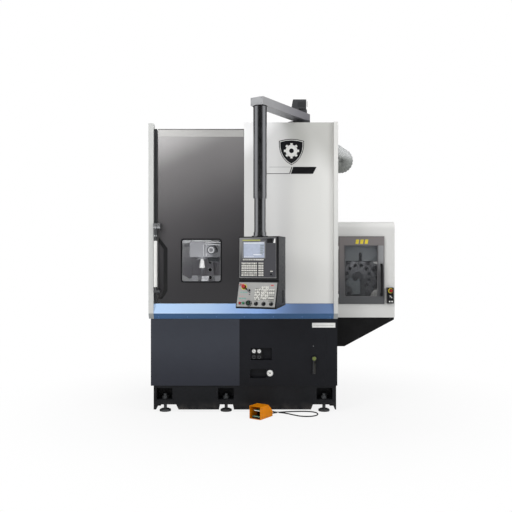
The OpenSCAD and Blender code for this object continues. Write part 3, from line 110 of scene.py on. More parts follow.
# ---- materials
class Nodes:
    """A node tree, with short calls for the nodes used here."""

    def __init__(self, owner):
        owner.use_nodes = True
        self.owner = owner
        self.t = owner.node_tree
        self.shader = self.t.nodes.get("Principled BSDF")
        self.coords = self.new("ShaderNodeTexCoord").outputs
        self.coord = self.coords["Object"]

    def new(self, kind, **values):
        n = self.t.nodes.new(kind)
        for k, v in values.items():
            setattr(n, k, v)
        return n

    def fill(self, node, **values):
        """Sets or links inputs by name, with _ for a space."""
        for k, v in values.items():
            self.give(v, node.inputs[k.replace("_", " ")])
        return node

    def give(self, value, socket):
        if hasattr(value, "links"):
            self.t.links.new(value, socket)
        elif value is not None:
            socket.default_value = value

    def noise(self, scale, detail, stretch=(1, 1, 1)):
        m = self.fill(self.new("ShaderNodeMapping"), Vector=self.coord, Scale=stretch)
        n = self.new("ShaderNodeTexNoise")
        self.fill(n, Vector=m.outputs["Vector"], Scale=scale, Detail=detail, Roughness=0.5)
        return n.outputs["Fac"]

    def ramp(self, fac, lo, hi, a=0.0, b=1.0, kind="SMOOTHSTEP"):
        n = self.new("ShaderNodeMapRange", interpolation_type=kind)
        self.fill(n, Value=fac, From_Min=lo, From_Max=hi, To_Min=a, To_Max=b)
        return n.outputs["Result"]

    def mix(self, fac, a, b):
        n = self.new("ShaderNodeMix", data_type="RGBA")
        for value, k in ((fac, 0), (a, 6), (b, 7)):
            self.give(value, n.inputs[k])
        return n.outputs[2]

    def blend(self, fac, a, b):
        """A mix of two shaders."""
        n = self.new("ShaderNodeMixShader")
        for k, value in enumerate((fac, a, b)):
            self.give(value, n.inputs[k])
        return n.outputs[0]

    def math(self, op, a, b=None):
        n = self.new("ShaderNodeMath", operation=op)
        self.give(a, n.inputs[0])
        self.give(b, n.inputs[1])
        return n.outputs[0]

    def axis(self, direction, lo, hi):
        """0 to 1 along a direction, from the distance lo to hi, in row-frame metres."""
        n = self.new("ShaderNodeVectorMath", operation="DOT_PRODUCT")
        n.inputs[1].default_value = direction
        self.give(self.coord, n.inputs[0])
        return self.ramp(n.outputs["Value"], lo, hi)

    def bump(self, height, strength):
        n = self.fill(self.new("ShaderNodeBump"), Height=height, Strength=strength, Distance=0.0006)
        return n.outputs["Normal"]

    def seen_straight(self):
        """Whether a ray comes from the camera, also through a pane, and whether it is a glossy one."""
        path = self.new("ShaderNodeLightPath").outputs
        return self.math("MAXIMUM", path["Is Camera Ray"], path["Is Transmission Ray"]), path["Is Glossy Ray"]


def material(name):
    return Nodes(bpy.data.materials.new(name))


def drifting(n, noise, colour, low, high):
    """A colour that drifts between two shades of itself."""
    return n.mix(n.ramp(noise, 0.3, 0.7), shade(colour, low), shade(colour, high))


def paint(
    name, colour, rough, metal, spread, scale, grain, grain_scale=900.0, spec=0.5,
    stretch=(1, 1, 1), coat=0.0, rough_spread=0.08, fades=(), dirt=None,
):
    """A painted or bare surface: broad colour drift, fine grain in its bump, and a roughness that varies.
    fades are (direction, lo, hi, colour) mixes along a direction; dirt is (colour, top) near the floor."""
    n = material(name)
    col = drifting(n, n.noise(scale, 4.0), srgb(colour), 1 - spread, 1 + spread)
    for direction, lo, hi, other in fades:
        col = n.mix(n.axis(direction, lo, hi), col, srgb(other))
    if dirt:
        low = n.axis(DOWN, -dirt[1], 0.0)
        smudge = n.ramp(n.noise(14.0, 6.0), 0.35, 0.75, 0.0, 0.8)
        col = n.mix(n.math("MULTIPLY", low, smudge), col, srgb(dirt[0]))
    worn = n.ramp(n.noise(scale * 7, 5.0), 0.25, 0.75, rough - rough_spread, rough + rough_spread)
    n.fill(n.shader, Base_Color=col, Metallic=metal, Specular_IOR_Level=spec, Roughness=worn)
    if coat:
        n.fill(n.shader, Coat_Weight=coat, Coat_Roughness=0.12)
    if grain:
        n.fill(n.shader, Normal=n.bump(n.noise(grain_scale, 2.0, stretch), grain))
    return n.owner


def glass(name, tint, rough, alpha):
    """Thin window glass: mostly clear, dark in itself, with a smeared gloss on top."""
    n = material(name)
    body = n.mix(n.noise(5.0, 5.0), shade(srgb(tint), 0.7), srgb(tint))
    smear = n.ramp(n.noise(9.0, 4.0), 0.3, 0.8, rough, rough + 0.05)
    n.fill(n.shader, Base_Color=body, Roughness=smear, Alpha=alpha, Specular_IOR_Level=0.5)
    return n.owner


def glow(name, colour, strength):
    """A lit or bright face, such as a lamp cover or a screen, with its own faint pattern."""
    n = material(name)
    col = drifting(n, n.noise(30.0, 2.0), srgb(colour), 0.94, 1.04)
    n.fill(n.shader, Base_Color=col, Emission_Color=col, Emission_Strength=strength, Roughness=0.35)
    return n.owner


def split_by_height(name, level, below, above, rough, metal, side=None):
    """Two finishes on one casting: below and above a height in the row frame; side, when given, is painted
    shade that darkens the upper finish along x towards a colour.
    """
    n = material(name)
    up = n.axis(Z, level - 0.0005, level + 0.0005)
    cloud = n.noise(4.0, 4.0)
    lo, hi = (drifting(n, cloud, srgb(c), 0.985, 1.015) for c in (below, above))
    if side:
        hi = n.mix(n.axis(X, *side[:2]), hi, srgb(side[2]))
    wear = n.ramp(n.noise(22.0, 5.0), 0.3, 0.7, 0.0, 0.05)
    gloss = n.math("ADD", n.ramp(up, 0.0, 1.0, *rough), wear)
    n.fill(n.shader, Base_Color=n.mix(up, lo, hi), Roughness=gloss, Metallic=n.ramp(up, 0.0, 1.0, *metal))
    return n.owner


# ---- small solids
class Part:
    """Gathers bevelled solids in several finishes into one piece. Sizes are millimetres."""

    def __init__(self, name, body="machine", at=IDENTITY):
        self.name, self.body, self.at = name, body, at
        self.bm = bmesh.new()
        self.mats = []

    def merge(self, bm, mat, m=IDENTITY, edge=0.0, seg=2):
        if edge:
            sharp = [e for e in bm.edges if len(e.link_faces) == 2 and e.calc_face_angle(0) > SHARP]
            bmesh.ops.bevel(bm, geom=sharp, offset=edge, segments=seg, affect="EDGES", profile=0.6)
        if mat not in self.mats:
            self.mats.append(mat)
        for f in bm.faces:
            f.material_index = self.mats.index(mat)
        bm.transform(self.at @ m)
        bmesh.ops.recalc_face_normals(bm, faces=bm.faces)
        tmp = bpy.data.meshes.new("tmp")
        bm.to_mesh(tmp)
        bm.free()
        self.bm.from_mesh(tmp)
        bpy.data.meshes.remove(tmp)

    def skin(self, rings, mat, m=IDENTITY, loop=False):
        """Faces between neighbouring rings of points; the ends are closed, or meet in a loop."""
        bm = bmesh.new()
        rings = [[bm.verts.new(p) for p in ring] for ring in rings]
        n = max(len(r) for r in rings)
        for a, b in zip(rings, rings[1:] + rings[:1] if loop else rings[1:]):
            for k in range(n):
                corners = a[k % len(a)], a[(k + 1) % len(a)], b[(k + 1) % len(b)], b[k % len(b)]
                face = list(dict.fromkeys(corners))
                if len(face) > 2:
                    bm.faces.new(face)
        for ring in () if loop else (rings[0], rings[-1]):
            if len(ring) > 1:
                bm.faces.new(ring)
        self.merge(bm, mat, m)

    def turned(self, origin, axis, profile, mat, n=32, m=IDENTITY, loop=False):
        """A turned form: profile is (radius, height) along axis from origin. Radius 0 closes it."""
        rings = [[(x, y, h) for x, y in circle(n, r)] if r > 0 else [(0, 0, h)] for r, h in profile]
        turn = Vector(Z).rotation_difference(Vector(axis).normalized()).to_matrix().to_4x4()
        self.skin(rings, mat, m @ shift(*origin) @ turn, loop)

    def box(self, lo, hi, mat, edge=1.0, seg=2, m=IDENTITY):
        bm = bmesh.new()
        bmesh.ops.create_cube(bm, size=1.0)
        size = [hi[i] - lo[i] for i in range(3)]
        mid = [(hi[i] + lo[i]) / 2 for i in range(3)]
        bm.transform(shift(*mid) @ Matrix.Diagonal((*size, 1)))
        self.merge(bm, mat, m, min(edge, min(abs(s) for s in size) * 0.45), seg)

    def rod(self, a, b, r, mat, edge=1.0, n=28):
        """A cylinder from a to b with rounded rims."""
        a, b = Vector(a), Vector(b)
        h = (b - a).length
        e = min(edge, r * 0.45, h * 0.45)
        rim = [(r - e, 0), (r - e * 0.3, e * 0.3), (r, e)]
        back = [(radius, h - z) for radius, z in reversed(rim)]
        self.turned(a, b - a, [(0, 0), *rim, *back, (0, h)], mat, n)

    def ring(self, origin, axis, r_in, r_out, h, mat, edge=0.8, n=32, m=IDENTITY):
        e = min(edge, (r_out - r_in) * 0.4, h * 0.4)
        outside = [(r_out - e, 0), (r_out, e), (r_out, h - e), (r_out - e, h)]
        self.turned(origin, axis, [(r_in, 0), *outside, (r_in + e, h), (r_in, h - e)], mat, n, m, True)

    def plate(self, points, y0, y1, mat, edge=0.6, seg=2):
        """An outline in x and z, drawn through from y0 to y1."""
        bm = bmesh.new()
        a = [bm.verts.new((x, y0, z)) for x, z in points]
        b = [bm.verts.new((x, y1, z)) for x, z in points]
        n = len(points)
        bm.faces.new(a)
        bm.faces.new(b[::-1])
        for k in range(n):
            bm.faces.new([a[k], b[k], b[(k + 1) % n], a[(k + 1) % n]])
        bmesh.ops.recalc_face_normals(bm, faces=bm.faces)
        self.merge(bm, mat, IDENTITY, edge, seg)

    def tube(self, path, r, mat, n=12):
        """A round bar along a path."""
        pts = [Vector(p) for p in path]
        up = Vector(Z) if abs((pts[1] - pts[0]).normalized().z) < 0.9 else Vector(X)
        rings = []
        for i, p in enumerate(pts):
            d = (pts[min(i + 1, len(pts) - 1)] - pts[max(i - 1, 0)]).normalized()
            side = d.cross(up).normalized()
            up = side.cross(d).normalized()
            rings.append([p + (side * c + up * s) * r for c, s in circle(n)])
        self.skin(rings, mat)

    def screw(self, origin, axis, r, mat="steel_dull", h=None):
        """A cap screw head with a recess in its face."""
        h = h or r * 0.7
        outside = [(0, 0), (r * 0.96, 0), (r, h * 0.15), (r, h * 0.75), (r * 0.88, h)]
        self.turned(origin, axis, [*outside, (r * 0.5, h), (r * 0.45, h * 0.4), (0, h * 0.4)], mat, 12)

    def done(self, slot):
        mesh = bpy.data.meshes.new(self.name)
        self.bm.transform(Matrix.Translation(P(0, 0, 0)) @ Matrix.Diagonal((0.001, 0.001, 0.001, 1)))
        self.bm.to_mesh(mesh)
        self.bm.free()
        for mat in self.mats:
            mesh.materials.append(M[mat])
        for f in mesh.polygons:
            f.use_smooth = True
        mesh.set_sharp_from_angle(angle=SMOOTH_BELOW)
        obj = bpy.data.objects.new(self.name, mesh)
        SCENE.collection.objects.link(obj)
        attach(obj, self.body)
        return obj


def border(part, outer, inner, y0, y1, mat, edge):
    """Four bars between two rectangles, each given as x0, z0, x1, z1."""
    (a, b, c, d), (e, f, g, h) = outer, inner
    for x0, z0, x1, z1 in ((a, b, e, d), (g, b, c, d), (a, h, c, d), (a, b, c, f)):
        part.box((x0, y0, z0), (x1, y1, z1), mat, edge)


# ---- finishes
# Name, colour, roughness, metal, colour drift and its size, bump grain and its size, specular.
FINISHES = """
cast_dark #17181b 0.55 0 0.14 5 0.4 200 0.25
steel #c3c5c7 0.34 0.7 0.05 9 0.01 120
steel_dull #8b8e91 0.42 0.9 0.08 12 0.06 160
turned #b3b5b7 0.36 0.6 0.05 7 0.01 140
cast_grey #9a9c9d 0.5 0 0.08 4 0.2 220 0.3
cast_light #c2c5c6 0.45 0 0.06 4 0.15 220 0.3
grey_paint #cfcfcd 0.42 0 0.03 2 0.25 1400 0.3
white_paint #e2e2df 0.4 0 0.02 1.5 0.25 1500 0.3
door #a09e9e 0.36 0.3 0.02 1.2 0.05 90 0.25
belt #8fb0e6 0.36 0 0.02 2 0.06 400 0.3
cover_paint #e2e2df 0.4 0 0.015 1.5 0.05 300 0.3
post_paint #dededb 0.4 0 0.02 1.5 0.05 300 0.3
foot #5a5c5e 0.5 0.5 0.12 16 0.1 200
tool_white #d2d2d2 0.4 0.1 0.04 12 0.05 200
head_grey #7e7f83 0.45 0.1 0.05 7 0.05 160 0.3
jaw #98999c 0.42 0.3 0.1 14 0.05 160
disc_dark #6a6b6e 0.5 0.1 0.06 8 0.05 160 0.3
navy_left #3c3f47 0.42 0 0.03 2 0.05 300 0.2
navy_right #1b1c21 0.42 0 0.04 2 0.05 300 0.2
black #161618 0.38 0 0.2 6 0.3 900 0.25
black_matt #141415 0.62 0 0.2 8 0.4 700 0.2
rubber #17171a 0.6 0 0.15 20 0.4 600 0.25
tube_black #8a8b8e 0.2 1 0.02 3 0
motor #4a4b4e 0.45 0 0.1 6 0.35 900 0.25
gauge_white #e9e9e6 0.4 0 0.03 30 0.1
panel #8f9093 0.42 0 0.04 6 0.35 1600 0.3
panel_side #424346 0.45 0 0.03 6 0.05 300 0.25
face #868685 0.42 0 0.03 8 0.05 300 0.25
key #d4d3cd 0.42 0 0.05 60 0.2 2000 0.3
red #a32220 0.32 0 0.08 30 0.1 900 0.4
green #2f7d52 0.35 0 0.08 30 0.1 900 0.4
yellow #dcc63a 0.4 0 0.05 30 0.1
duct #a9acaa 0.4 0.2 0.05 9 0.08 200
orange #e68a04 0.5 0 0.05 14 0.12 400 0.18
treadle #3f8a6a 0.5 0 0.08 20 0.1 300
belt_rubber #1c1c1e 0.6 0 0.15 20 0.4
walls #b2b3b5 0.45 0.05 0.04 3 0.04 120 0.3
silver_edge #a4a5a4 0.35 0.3 0.04 20 0.05 200
console #a0a09e 0.42 0 0.03 10 0.05 300 0.3
bezel #7b7c7d 0.42 0 0.03 10 0.25 1600 0.3
key_grey #9d9d97 0.45 0 0.05 60 0.2 2000 0.3
key_dark #55565a 0.45 0 0.05 60 0.2 2000 0.3
key_back #2f2f32 0.5 0 0.05 20 0.04 300
mark_light #e4e8ef 0.3 0 0.03 30 0.02
mark_grey #8f989d 0.3 0 0.03 30 0.02
olive_strip #a9ad5e 0.42 0 0.05 30 0.05
teal #6fa79c 0.4 0 0.05 60 0.1
pink #c98f8d 0.42 0 0.05 60 0.1
key_rest #6e6e6d 0.5 0 0.05 20 0.04 300
dark_seam #202124 0.6 0 0.1 20 0.2 900 0.15
door_strip #d2d1cf 0.4 0.1 0.02 2 0.03 160
post_dark #37383a 0.42 0 0.06 4 0.25 900 0.25
belt_dark #5f7fc0 0.4 0 0.04 2 0.2 1500 0.3
guard_plate #b7bec2 0.4 0 0.03 4 0.05 300 0.3
bracket_blue #8f999c 0.45 0 0.06 6 0.1 300
tool_dark #3c3e41 0.35 0.6 0.1 10 0.06 200
fork #5a5b5e 0.45 0.2 0.08 10 0.05 200
bright_steel #c4c5c7 0.35 0.3 0.04 10 0.04 200
boss #a2a3a6 0.45 0.1 0.05 14 0.05 200
panel_wall #b4b5b6 0.42 0.1 0.05 4 0.05 200
atc_door #7d7878 0.38 0.1 0.02 2 0.04 300 0.3
atc_paint_top #d2d2d0 0.42 0 0.02 2 0.06 400 0.3
atc_rim #5a595b 0.4 0 0.03 4 0.04 300
stile #8b8c8e 0.38 0.1 0.02 2 0.04 300
gauge_rim #c9cbcd 0.25 0.8 0.04 20 0.04 200
knob_rim #55575a 0.4 0.3 0.06 20 0.04 200
olive #6f7a3f 0.38 0 0.08 20 0.06 300
olive_glass #1c1e12 0.2 0 0.1 20 0.04 300
recess_dark #1d1d1e 0.5 0 0.05 6 0.04 300
side_line #5c5e5e 0.6 0 0.1 20 0.05 300
needle #27282a 0.4 0 0.05 30 0.02
arm_end #a9aaac 0.42 0.1 0.03 6 0.05 300 0.3
pale_green #a9cdb8 0.45 0 0.05 20 0.05 300
"""

# Colours that a finish turns to: a direction, where it starts and ends along it in metres, the colour.
# Several of these are painted light and shade, as said at each.
FADES = {
    "white_paint": [(Z, 2.2, 1.1, "#dcdcd9")],
    # painted light and shade: lighter towards the top left, darker towards the bottom right
    "door": [
        ((0.32, 0, -0.95), -3.5, -2.2, "#666466"),
        ((0.45, 0, -0.9), -2.75, -1.6, "#424143"),
        ((-0.45, 0, 0.9), 2.93, 3.38, "#dad8d8"),
    ],
    # painted light and shade: lighter towards the left end, darker towards the right end, and painted shade
    # on the face that looks down, below 1.1 m
    "belt": [
        (LEFT, 0.15, 0.9, "#bad7fa"), (X, -0.1, 0.3, "#6b84ae"), (DOWN, -1.1015, -1.0995, "#3c5f88"),
    ],
    # painted shadow of the arm along the top and of the roof motor at the top right, painted shade on the
    # left under the tube, painted light at the top left and towards the right
    "cover_paint": [
        (Z, 2.5, 3.1, "#b4b5b0"), (LEFT, -0.28, -0.03, "#d6d6d5"), ((-0.7, 0, 0.7), 2.15, 2.35, "#f6f6f6"),
        (X, 0.3, 0.5, "#e0e0dd"), ((0.7, 0, 0.7), 2.2, 2.5, "#c0c0bc"),
    ],
    # darker on the left post and towards the bottom; the band below 1.1 m is painted shade on the posts'
    # slanted undersides
    "post_paint": [
        (LEFT, 1.2, 1.36, "#cdcecc"), (DOWN, -2.8, -1.2, "#c9cac8"), (DOWN, -1.1015, -1.0995, "#9a9d9d"),
    ],
    # painted shade: the tool's lower end, below 1.6 m, dark where it lies in shadow
    "tool_white": [(DOWN, -1.602, -1.594, "#5a5b5f")],
    "head_grey": [(X, -0.80, -0.72, "#505154")],
    "disc_dark": [(FRONT, -0.088, -0.06, "#333436")],
    "navy_left": [(DOWN, -0.85, -0.25, "#2e3038")],
    "navy_right": [(DOWN, -0.85, -0.25, "#15161a")],
    "panel_side": [
        (DOWN, -1.85, -1.3, "#2f3033"), (DOWN, -1.234, -1.230, "#161618"), (Z, 1.921, 1.927, "#2a2a2c"),
    ],
    "face": [((0.7, 0, -0.7), -1.58, -1.4, "#48484c")],
    # painted shade under the duct and painted light along its top
    "duct": [(DOWN, -3.02, -2.84, "#7f827f"), (Z, 2.96, 3.06, "#d8dada")],
    "walls": [((0.3, 0, -0.95), -2.2, -1.82, "#747378")],
    # painted highlight on the door's top edge, fading towards the right
    "door_strip": [(X, -1.3, -0.45, "#b8b7b5")],
    "guard_plate": [(Z, 1.67, 1.9, "#a3abb0")],
    # painted shade, darker towards the bottom; the second fade is the handle's own black
    "atc_door": [((0.25, 0, -0.97), -1.62, -1.0, "#565759"), (FRONT, 0.2175, 0.2185, "#151516")],
    # painted highlight along the cabinet's rounded top
    "atc_paint_top": [(Z, 2.04, 2.12, "#e4e4e2")],
    # painted shade, darker towards the bottom, like the door beside it
    "stile": [(DOWN, -1.72, -1.5, "#4f4e50")],
}

# Brushed grain, a clear coat, an even gloss, and dirt up to a height in metres.
MORE = {
    "cast_dark": {"dirt": ("#4a4743", 0.14)},
    "foot": {"dirt": ("#3c3a36", 0.05)},
    "orange": {"dirt": ("#a8762f", 0.03)},
    "door": {"stretch": (12, 12, 1), "rough_spread": 0.04},
    "tube_black": {"rough_spread": 0.01},
    "olive_glass": {"coat": 0.3},
}

M = {}
for line in FINISHES.strip().splitlines():
    key, colour, *numbers = line.split()
    M[key] = paint(key, colour, *map(float, numbers), fades=FADES.get(key, ()), **MORE.get(key, {}))
M["screen"] = glow("screen", "#a9b1c3", 0.08)
M["lamp"] = glow("lamp", "#d4d6d8", 0.25)
M["glass"] = glass("glass", "#15191b", 0.02, 0.08)
M["glass_atc"] = glass("glass_atc", "#505154", 0.05, 0.3)
# the arm's upper finish darkens towards its right end: painted shade
M["arm"] = split_by_height(
    "arm", 3.2798, "#8a8b8e", "#aeaeb0", (0.22, 0.4), (1.0, 0.1), (-0.15, 0.35, "#88878d")
)
M["roof"] = split_by_height("roof", 3.1465, "#cfcfcd", "#38393c", (0.42, 0.45), (0.0, 0.1))

NODE_FINISH = {
    "cast_dark": "base_casting base_front_beam base_rear_beam",
    "foot": "levelling_feet door_handle",
    "cast_grey": "bed saddle",
    "cast_light": "column headstock ram atc_magazine_drive",
    "steel": "spindle_bearings",
    "turned": "spindle chuck_body",
    "jaw": "jaw_1 jaw_2 jaw_3",
    "steel_dull": "motor_pulley x_rails door_carriages",
    "belt_rubber": "drive_belt",
    "motor": "spindle_motor mist_extractor",
    "head_grey": "tool_head",
    "tool_white": "boring_tool",
    "grey_paint": "enclosure_frame",
    "walls": "chamber_walls",
    "post_paint": "left_casing right_casing",
    "white_paint": "rear_panel",
    "roof": "roof_panel",
    "cover_paint": "front_cover",
    "belt": "belt_cover",
    "navy_left": "lower_left_panel",
    "navy_right": "lower_right_panel",
    "door": "door_panel",
    "glass": "door_glass",
    "lamp": "work_lamp",
    "arm": "pendant_arm",
    "tube_black": "lower_tube",
    "panel_side": "panel_housing",
    "face": "panel_face",
    "screen": "panel_screen",
    "key": "panel_keys",
    "red": "stop_button",
    "black": "front_gauges door_window_frame handwheel panel_knobs atc_button_box",
    "atc_paint_top": "atc_cabinet",
    "black_matt": "atc_support pedal_base",
    "disc_dark": "atc_magazine",
    "atc_door": "atc_door",
    "glass_atc": "atc_door_glass",
    "duct": "mist_duct",
    "orange": "pedal_guard",
    "treadle": "pedal_treadle",
    "rubber": "pedal_cable",
}
for finish, nodes in NODE_FINISH.items():
    for node in nodes.split():
        NODES[node].data.materials[0] = M[finish]


# ---- foot switch cable
# its middle line, from the gland at the pedal round the loop to the base
CABLE = [
    (1315, -119, 24), (1337, -88, 16), (1366, -62, 7), (1400, -46, 7), (1432, -36, 7), (1480, -48, 7),
    (1540, -92, 7), (1600, -150, 7), (1664, -200, 7), (1730, -216, 7), (1790, -208, 7), (1838, -172, 7),
    (1862, -118, 7), (1858, -58, 7), (1826, -12, 7), (1770, 14, 7), (1700, 20, 7), (1620, 14, 7),
    (1540, 2, 7), (1480, -12, 7), (1432, -20, 7), (1392, -4, 7), (1366, 36, 7), (1354, 78, 8),
    (1348, 112, 15), (1346, 138, 34), (1345, 149, 56), (1345, 151, 78),
]
route = [P(*p) for p in CABLE]
steps = [(route[min(i + 1, len(route) - 1)] - route[max(i - 1, 0)]) / 6 for i in range(len(route))]
run = bpy.data.curves.new("pedal_cable_run", "CURVE")
run.dimensions = "3D"
run.bevel_depth = 0.0065
run.bevel_resolution = 4
run.resolution_u = 8
spline = run.splines.new("BEZIER")
spline.bezier_points.add(len(route) - 1)
for b, p, step in zip(spline.bezier_points, route, steps):
    b.co = p
    b.handle_left_type = b.handle_right_type = "FREE"
    b.handle_left = p - step
    b.handle_right = p + step
run.materials.append(M["rubber"])
cable = bpy.data.objects.new("pedal_cable_run", run)
SCENE.collection.objects.link(cable)
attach(cable, "machine")
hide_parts("pedal_cable")

tie = Part("cable_tie")
tie.ring((1428, -28, 1.5), Z, 16, 18.5, 11, "gauge_white", 0.6, 24)
tie.box((1441, -31, 2), (1450, -24, 11), "gauge_white", 1.2)
tie = tie.done("gauge_white")

gland = Part("cable_gland_boot")
cone = [(0, -16), (7.2, -16), (7.8, -10), (9, -4), (10.5, 0), (0, 0)]
gland.turned(CABLE[0], (-0.55, -0.8, 0.2), cone, "rubber", 20)
gland = gland.done("black_rubber")


# ---- control panel
# measured from the lower left front corner of its plates, so that x is 0 to WIDE
WIDE = 430.0
RISE, RUN = 252, 85
DEEP = math.hypot(RUN, RISE)
PANEL_AT = shift(1230, -500, 0) @ spin(-20) @ shift(-190, -110, 0)
CONSOLE_AT = PANEL_AT @ shift(0, -95, 1214) @ Matrix.Rotation(math.pi / 2 - math.atan2(RUN, RISE), 4, "X")

# upper plate: silver edge strips and two thin strips above the screen
p = Part("panel_plate_trim", "panel", PANEL_AT)
for a, b in (
    ((7, -6, 1508), (10, -3.6, 1917)),
    ((WIDE - 30, -6, 1508), (WIDE - 28, -3.6, 1917)),
    ((7, -6, 1914), (WIDE - 28, -3.6, 1917)),
    ((7, -6, 1508), (WIDE - 25, -3.6, 1512)),
):
    p.box(a, b, "silver_edge", 0.8)
p.box((40, -5.2, 1886), (234, -3.6, 1897), "olive_strip", 0.5)
p.box((206, -5.0, 1880), (292, -3.6, 1885), "bezel", 0.4)
p.done("panel_grey")

p = Part("panel_screen_bezel", "panel", PANEL_AT)
sx0, sx1, sz0, sz1 = 50, 278, 1713.0, 1873.0
outer = (sx0 - 14, sz0 - 10, sx1 + 12, sz1 + 8)
border(p, outer, (sx0 - 1, sz0 - 0.8, sx1 + 1, sz1 + 0.8), -8, -3, "bezel", 1.6)
p.done("panel_grey")

p = Part("panel_screen_marks", "panel", PANEL_AT)
p.box((sx0 + 3, -4.4, sz1 - 15), (sx1 - 4, -3.4, sz1 - 5), "mark_light", 0.1, 1)
for k in range(6):
    z = sz1 - 40 - 17 * k
    p.box((sx1 - 46, -4.3, z), (sx1 - (16 if k % 2 else 8), -3.4, z + 10), "mark_grey", 0.1, 1)
for k in range(5):
    p.box((sx0 + 8 + 22 * k, -4.3, sz0 + 6), (sx0 + 24 + 22 * k, -3.4, sz0 + 13), "mark_light", 0.1, 1)
p.box((sx0 + 108, -4.3, sz0 + 27), (sx1 - 30, -3.4, sz0 + 37), "mark_light", 0.1, 1)
p.done("screen_blue")

p = Part("panel_side_strip", "panel", PANEL_AT)
p.box((WIDE - 28, -5, 1498), (WIDE - 0.5, 1, 1926), "black", 1.2)
p.box((1, -4.6, 1498), (WIDE - 2, 1, 1508), "black")
p.box((1, -4.2, 1917.5), (WIDE - 2, 1, 1929), "black")
p.box((0.6, -4.2, 1498), (6, 1, 1926), "black")
p.box((306, -5.5, 1862), (366, -3.6, 1906), "black", 0.8)
p.box((300, -4.6, 1852), (396, -3.6, 1855), "key_dark", 0.3)
p.plate([(372, 1862), (394, 1862), (394, 1906), (384, 1906)], -5.5, -3.6, "gauge_white", 0.5)
p.done("black_plastic")

# the black gap between the two plates
p = Part("panel_gap_strip", "panel", PANEL_AT)
p.box((3, 1, 1469), (WIDE - 3, 11.5, 1497), "black", 0.8)
p.done("near_black")

# keys of the upper plate, one small cap with cut corners each
keys = Part("panel_key_caps", "panel", PANEL_AT)


def cap(x, z, w, h, mat, cut=1.4):
    u, v = x + w, z + h
    right = [(u - cut, z), (u, z + cut), (u, v - cut), (u - cut, v)]
    keys.plate([(x + cut, z), *right, (x + cut, v), (x, v - cut), (x, z + cut)], -7.4, -4.0, mat, 0.9, 1)


for i in range(12):
    wide = 14 if 0 < i < 11 else 11
    cap(sx0 - 6 + i * 19.6, sz0 - 26, wide, 9, "key" if i > 5 else "key_grey")
for row, z in enumerate((1530, 1556, 1580, 1601, 1622, 1646)):
    for i in range(9):
        if row < 2 and i in (2, 5):
            continue
        x = 30 + i * 19.0 + (3 if row == 3 else 0)
        mat = "key" if row in (2, 3, 4) else ("key_grey" if (i + row) % 3 else "key")
        cap(x, z, 13.5, 11, mat)
    for i in range(3):
        cap(214 + i * 19.5, z, 14, 11, "key" if row < 5 else "key_grey")
for a, b in ((26, 204), (210, 272)):
    keys.box((a, -4.3, 1526), (b, -3.6, 1662), "key_back", 0.2, 1)
keys.box((sx0 - 12, -4.3, sz0 - 29), (sx0 + 228, -3.6, sz0 - 14), "key_back", 0.2, 1)
keys.done("key_white")

# the small rotary knob at the lower right of the upper plate
p = Part("panel_plate_knob", "panel", PANEL_AT)
p.rod((352, -3.8, 1545), (352, -8, 1545), 15, "key_dark", 1.5)
p.rod((352, -8, 1545), (352, -22, 1545), 10, "black", 2.0, 20)
p.box((349, -25, 1534), (355, -21, 1556), "black", 1.5)
p.box((338, -4.8, 1572), (366, -3.8, 1580), "key", 0.3)
p.done("black_plastic")

# console plate: x to the right, y up the slope, z out of its face
KNOB_XS, KNOB_Y = (217, 297, 377), 38
STOP_X, STOP_Y = 67, DEEP - 54
p = Part("console_plate_trim", "panel", CONSOLE_AT)
L, R, B, T = 9, WIDE - 12, 5.0, DEEP - 5
for a, b in (
    ((L, B, 1), (L + 3, T, 4.6)),
    ((R - 4, B, 1), (R, T, 4.6)),
    ((L, B, 1), (R, B + 3, 4.6)),
    ((L, T - 3, 1), (R, T, 4.6)),
):
    p.box(a, b, "silver_edge", 0.9)
p.box((9.5, 7.5, 2.2), (WIDE - 13.5, DEEP - 7.5, 3.5), "console", 0.4)
p.done("key_white")

p = Part("console_black_edges", "panel", CONSOLE_AT)
p.box((WIDE - 11, 4, -1), (WIDE - 1.5, DEEP - 4, 2.6), "black", 1.2)
p.box((6, 0.8, -1), (WIDE - 6, 4.5, 2.4), "black")
p.done("near_black")

keys = Part("console_key_caps", "panel", CONSOLE_AT)
for x0, y0, x1, y1 in ((193, 73, 254, 202), (261, 81, 338, 210), (343, 63, 401, 187)):
    keys.box((x0, y0, 3.2), (x1, y1, 3.7), "key_rest", 0.2, 1)


def console_key(x, y, w, h, mat, proud=3.2):
    keys.box((x, y, 3.2), (x + w, y + h, 3.2 + proud), mat, 1.3, 1)


for col, row in product(range(3), range(5)):
    if (col, row) != (0, 4):
        console_key(196 + col * 20, 76 + row * 27, 14.5, 15, "key_grey" if (col + row) % 2 else "key")
for col, row in product(range(4), range(5)):
    console_key(264 + col * 19, 84 + row * 27, 14, 15, "key" if (col * 2 + row) % 3 else "key_grey")
for col, row in product(range(3), range(5)):
    console_key(346 + col * 19, 66 + row * 26, 14, 14, "key" if row % 2 else "key_grey")
for x in (30, 56, 82):
    console_key(x, 84, 18, 12, "teal")
for x in (30, 58, 120, 140):
    console_key(x, 108, 14, 9, "pink" if x < 60 else "key_grey", 1.2)
for x in (34, 60, 88):
    console_key(x, 150, 20, 10, "teal", 1.0)
for y in (128, 148):
    console_key(128, y, 15, 11, "key_dark", 2.0)
console_key(352, DEEP - 42, 36, 15, "pink", 1.4)
console_key(356, DEEP - 38.5, 28, 8, "red", 2.0)
console_key(404, DEEP - 44, 4, 16, "teal", 1.2)
console_key(28, DEEP - 40, 32, 22, "pink", 0.9)
keys.done("key_white")

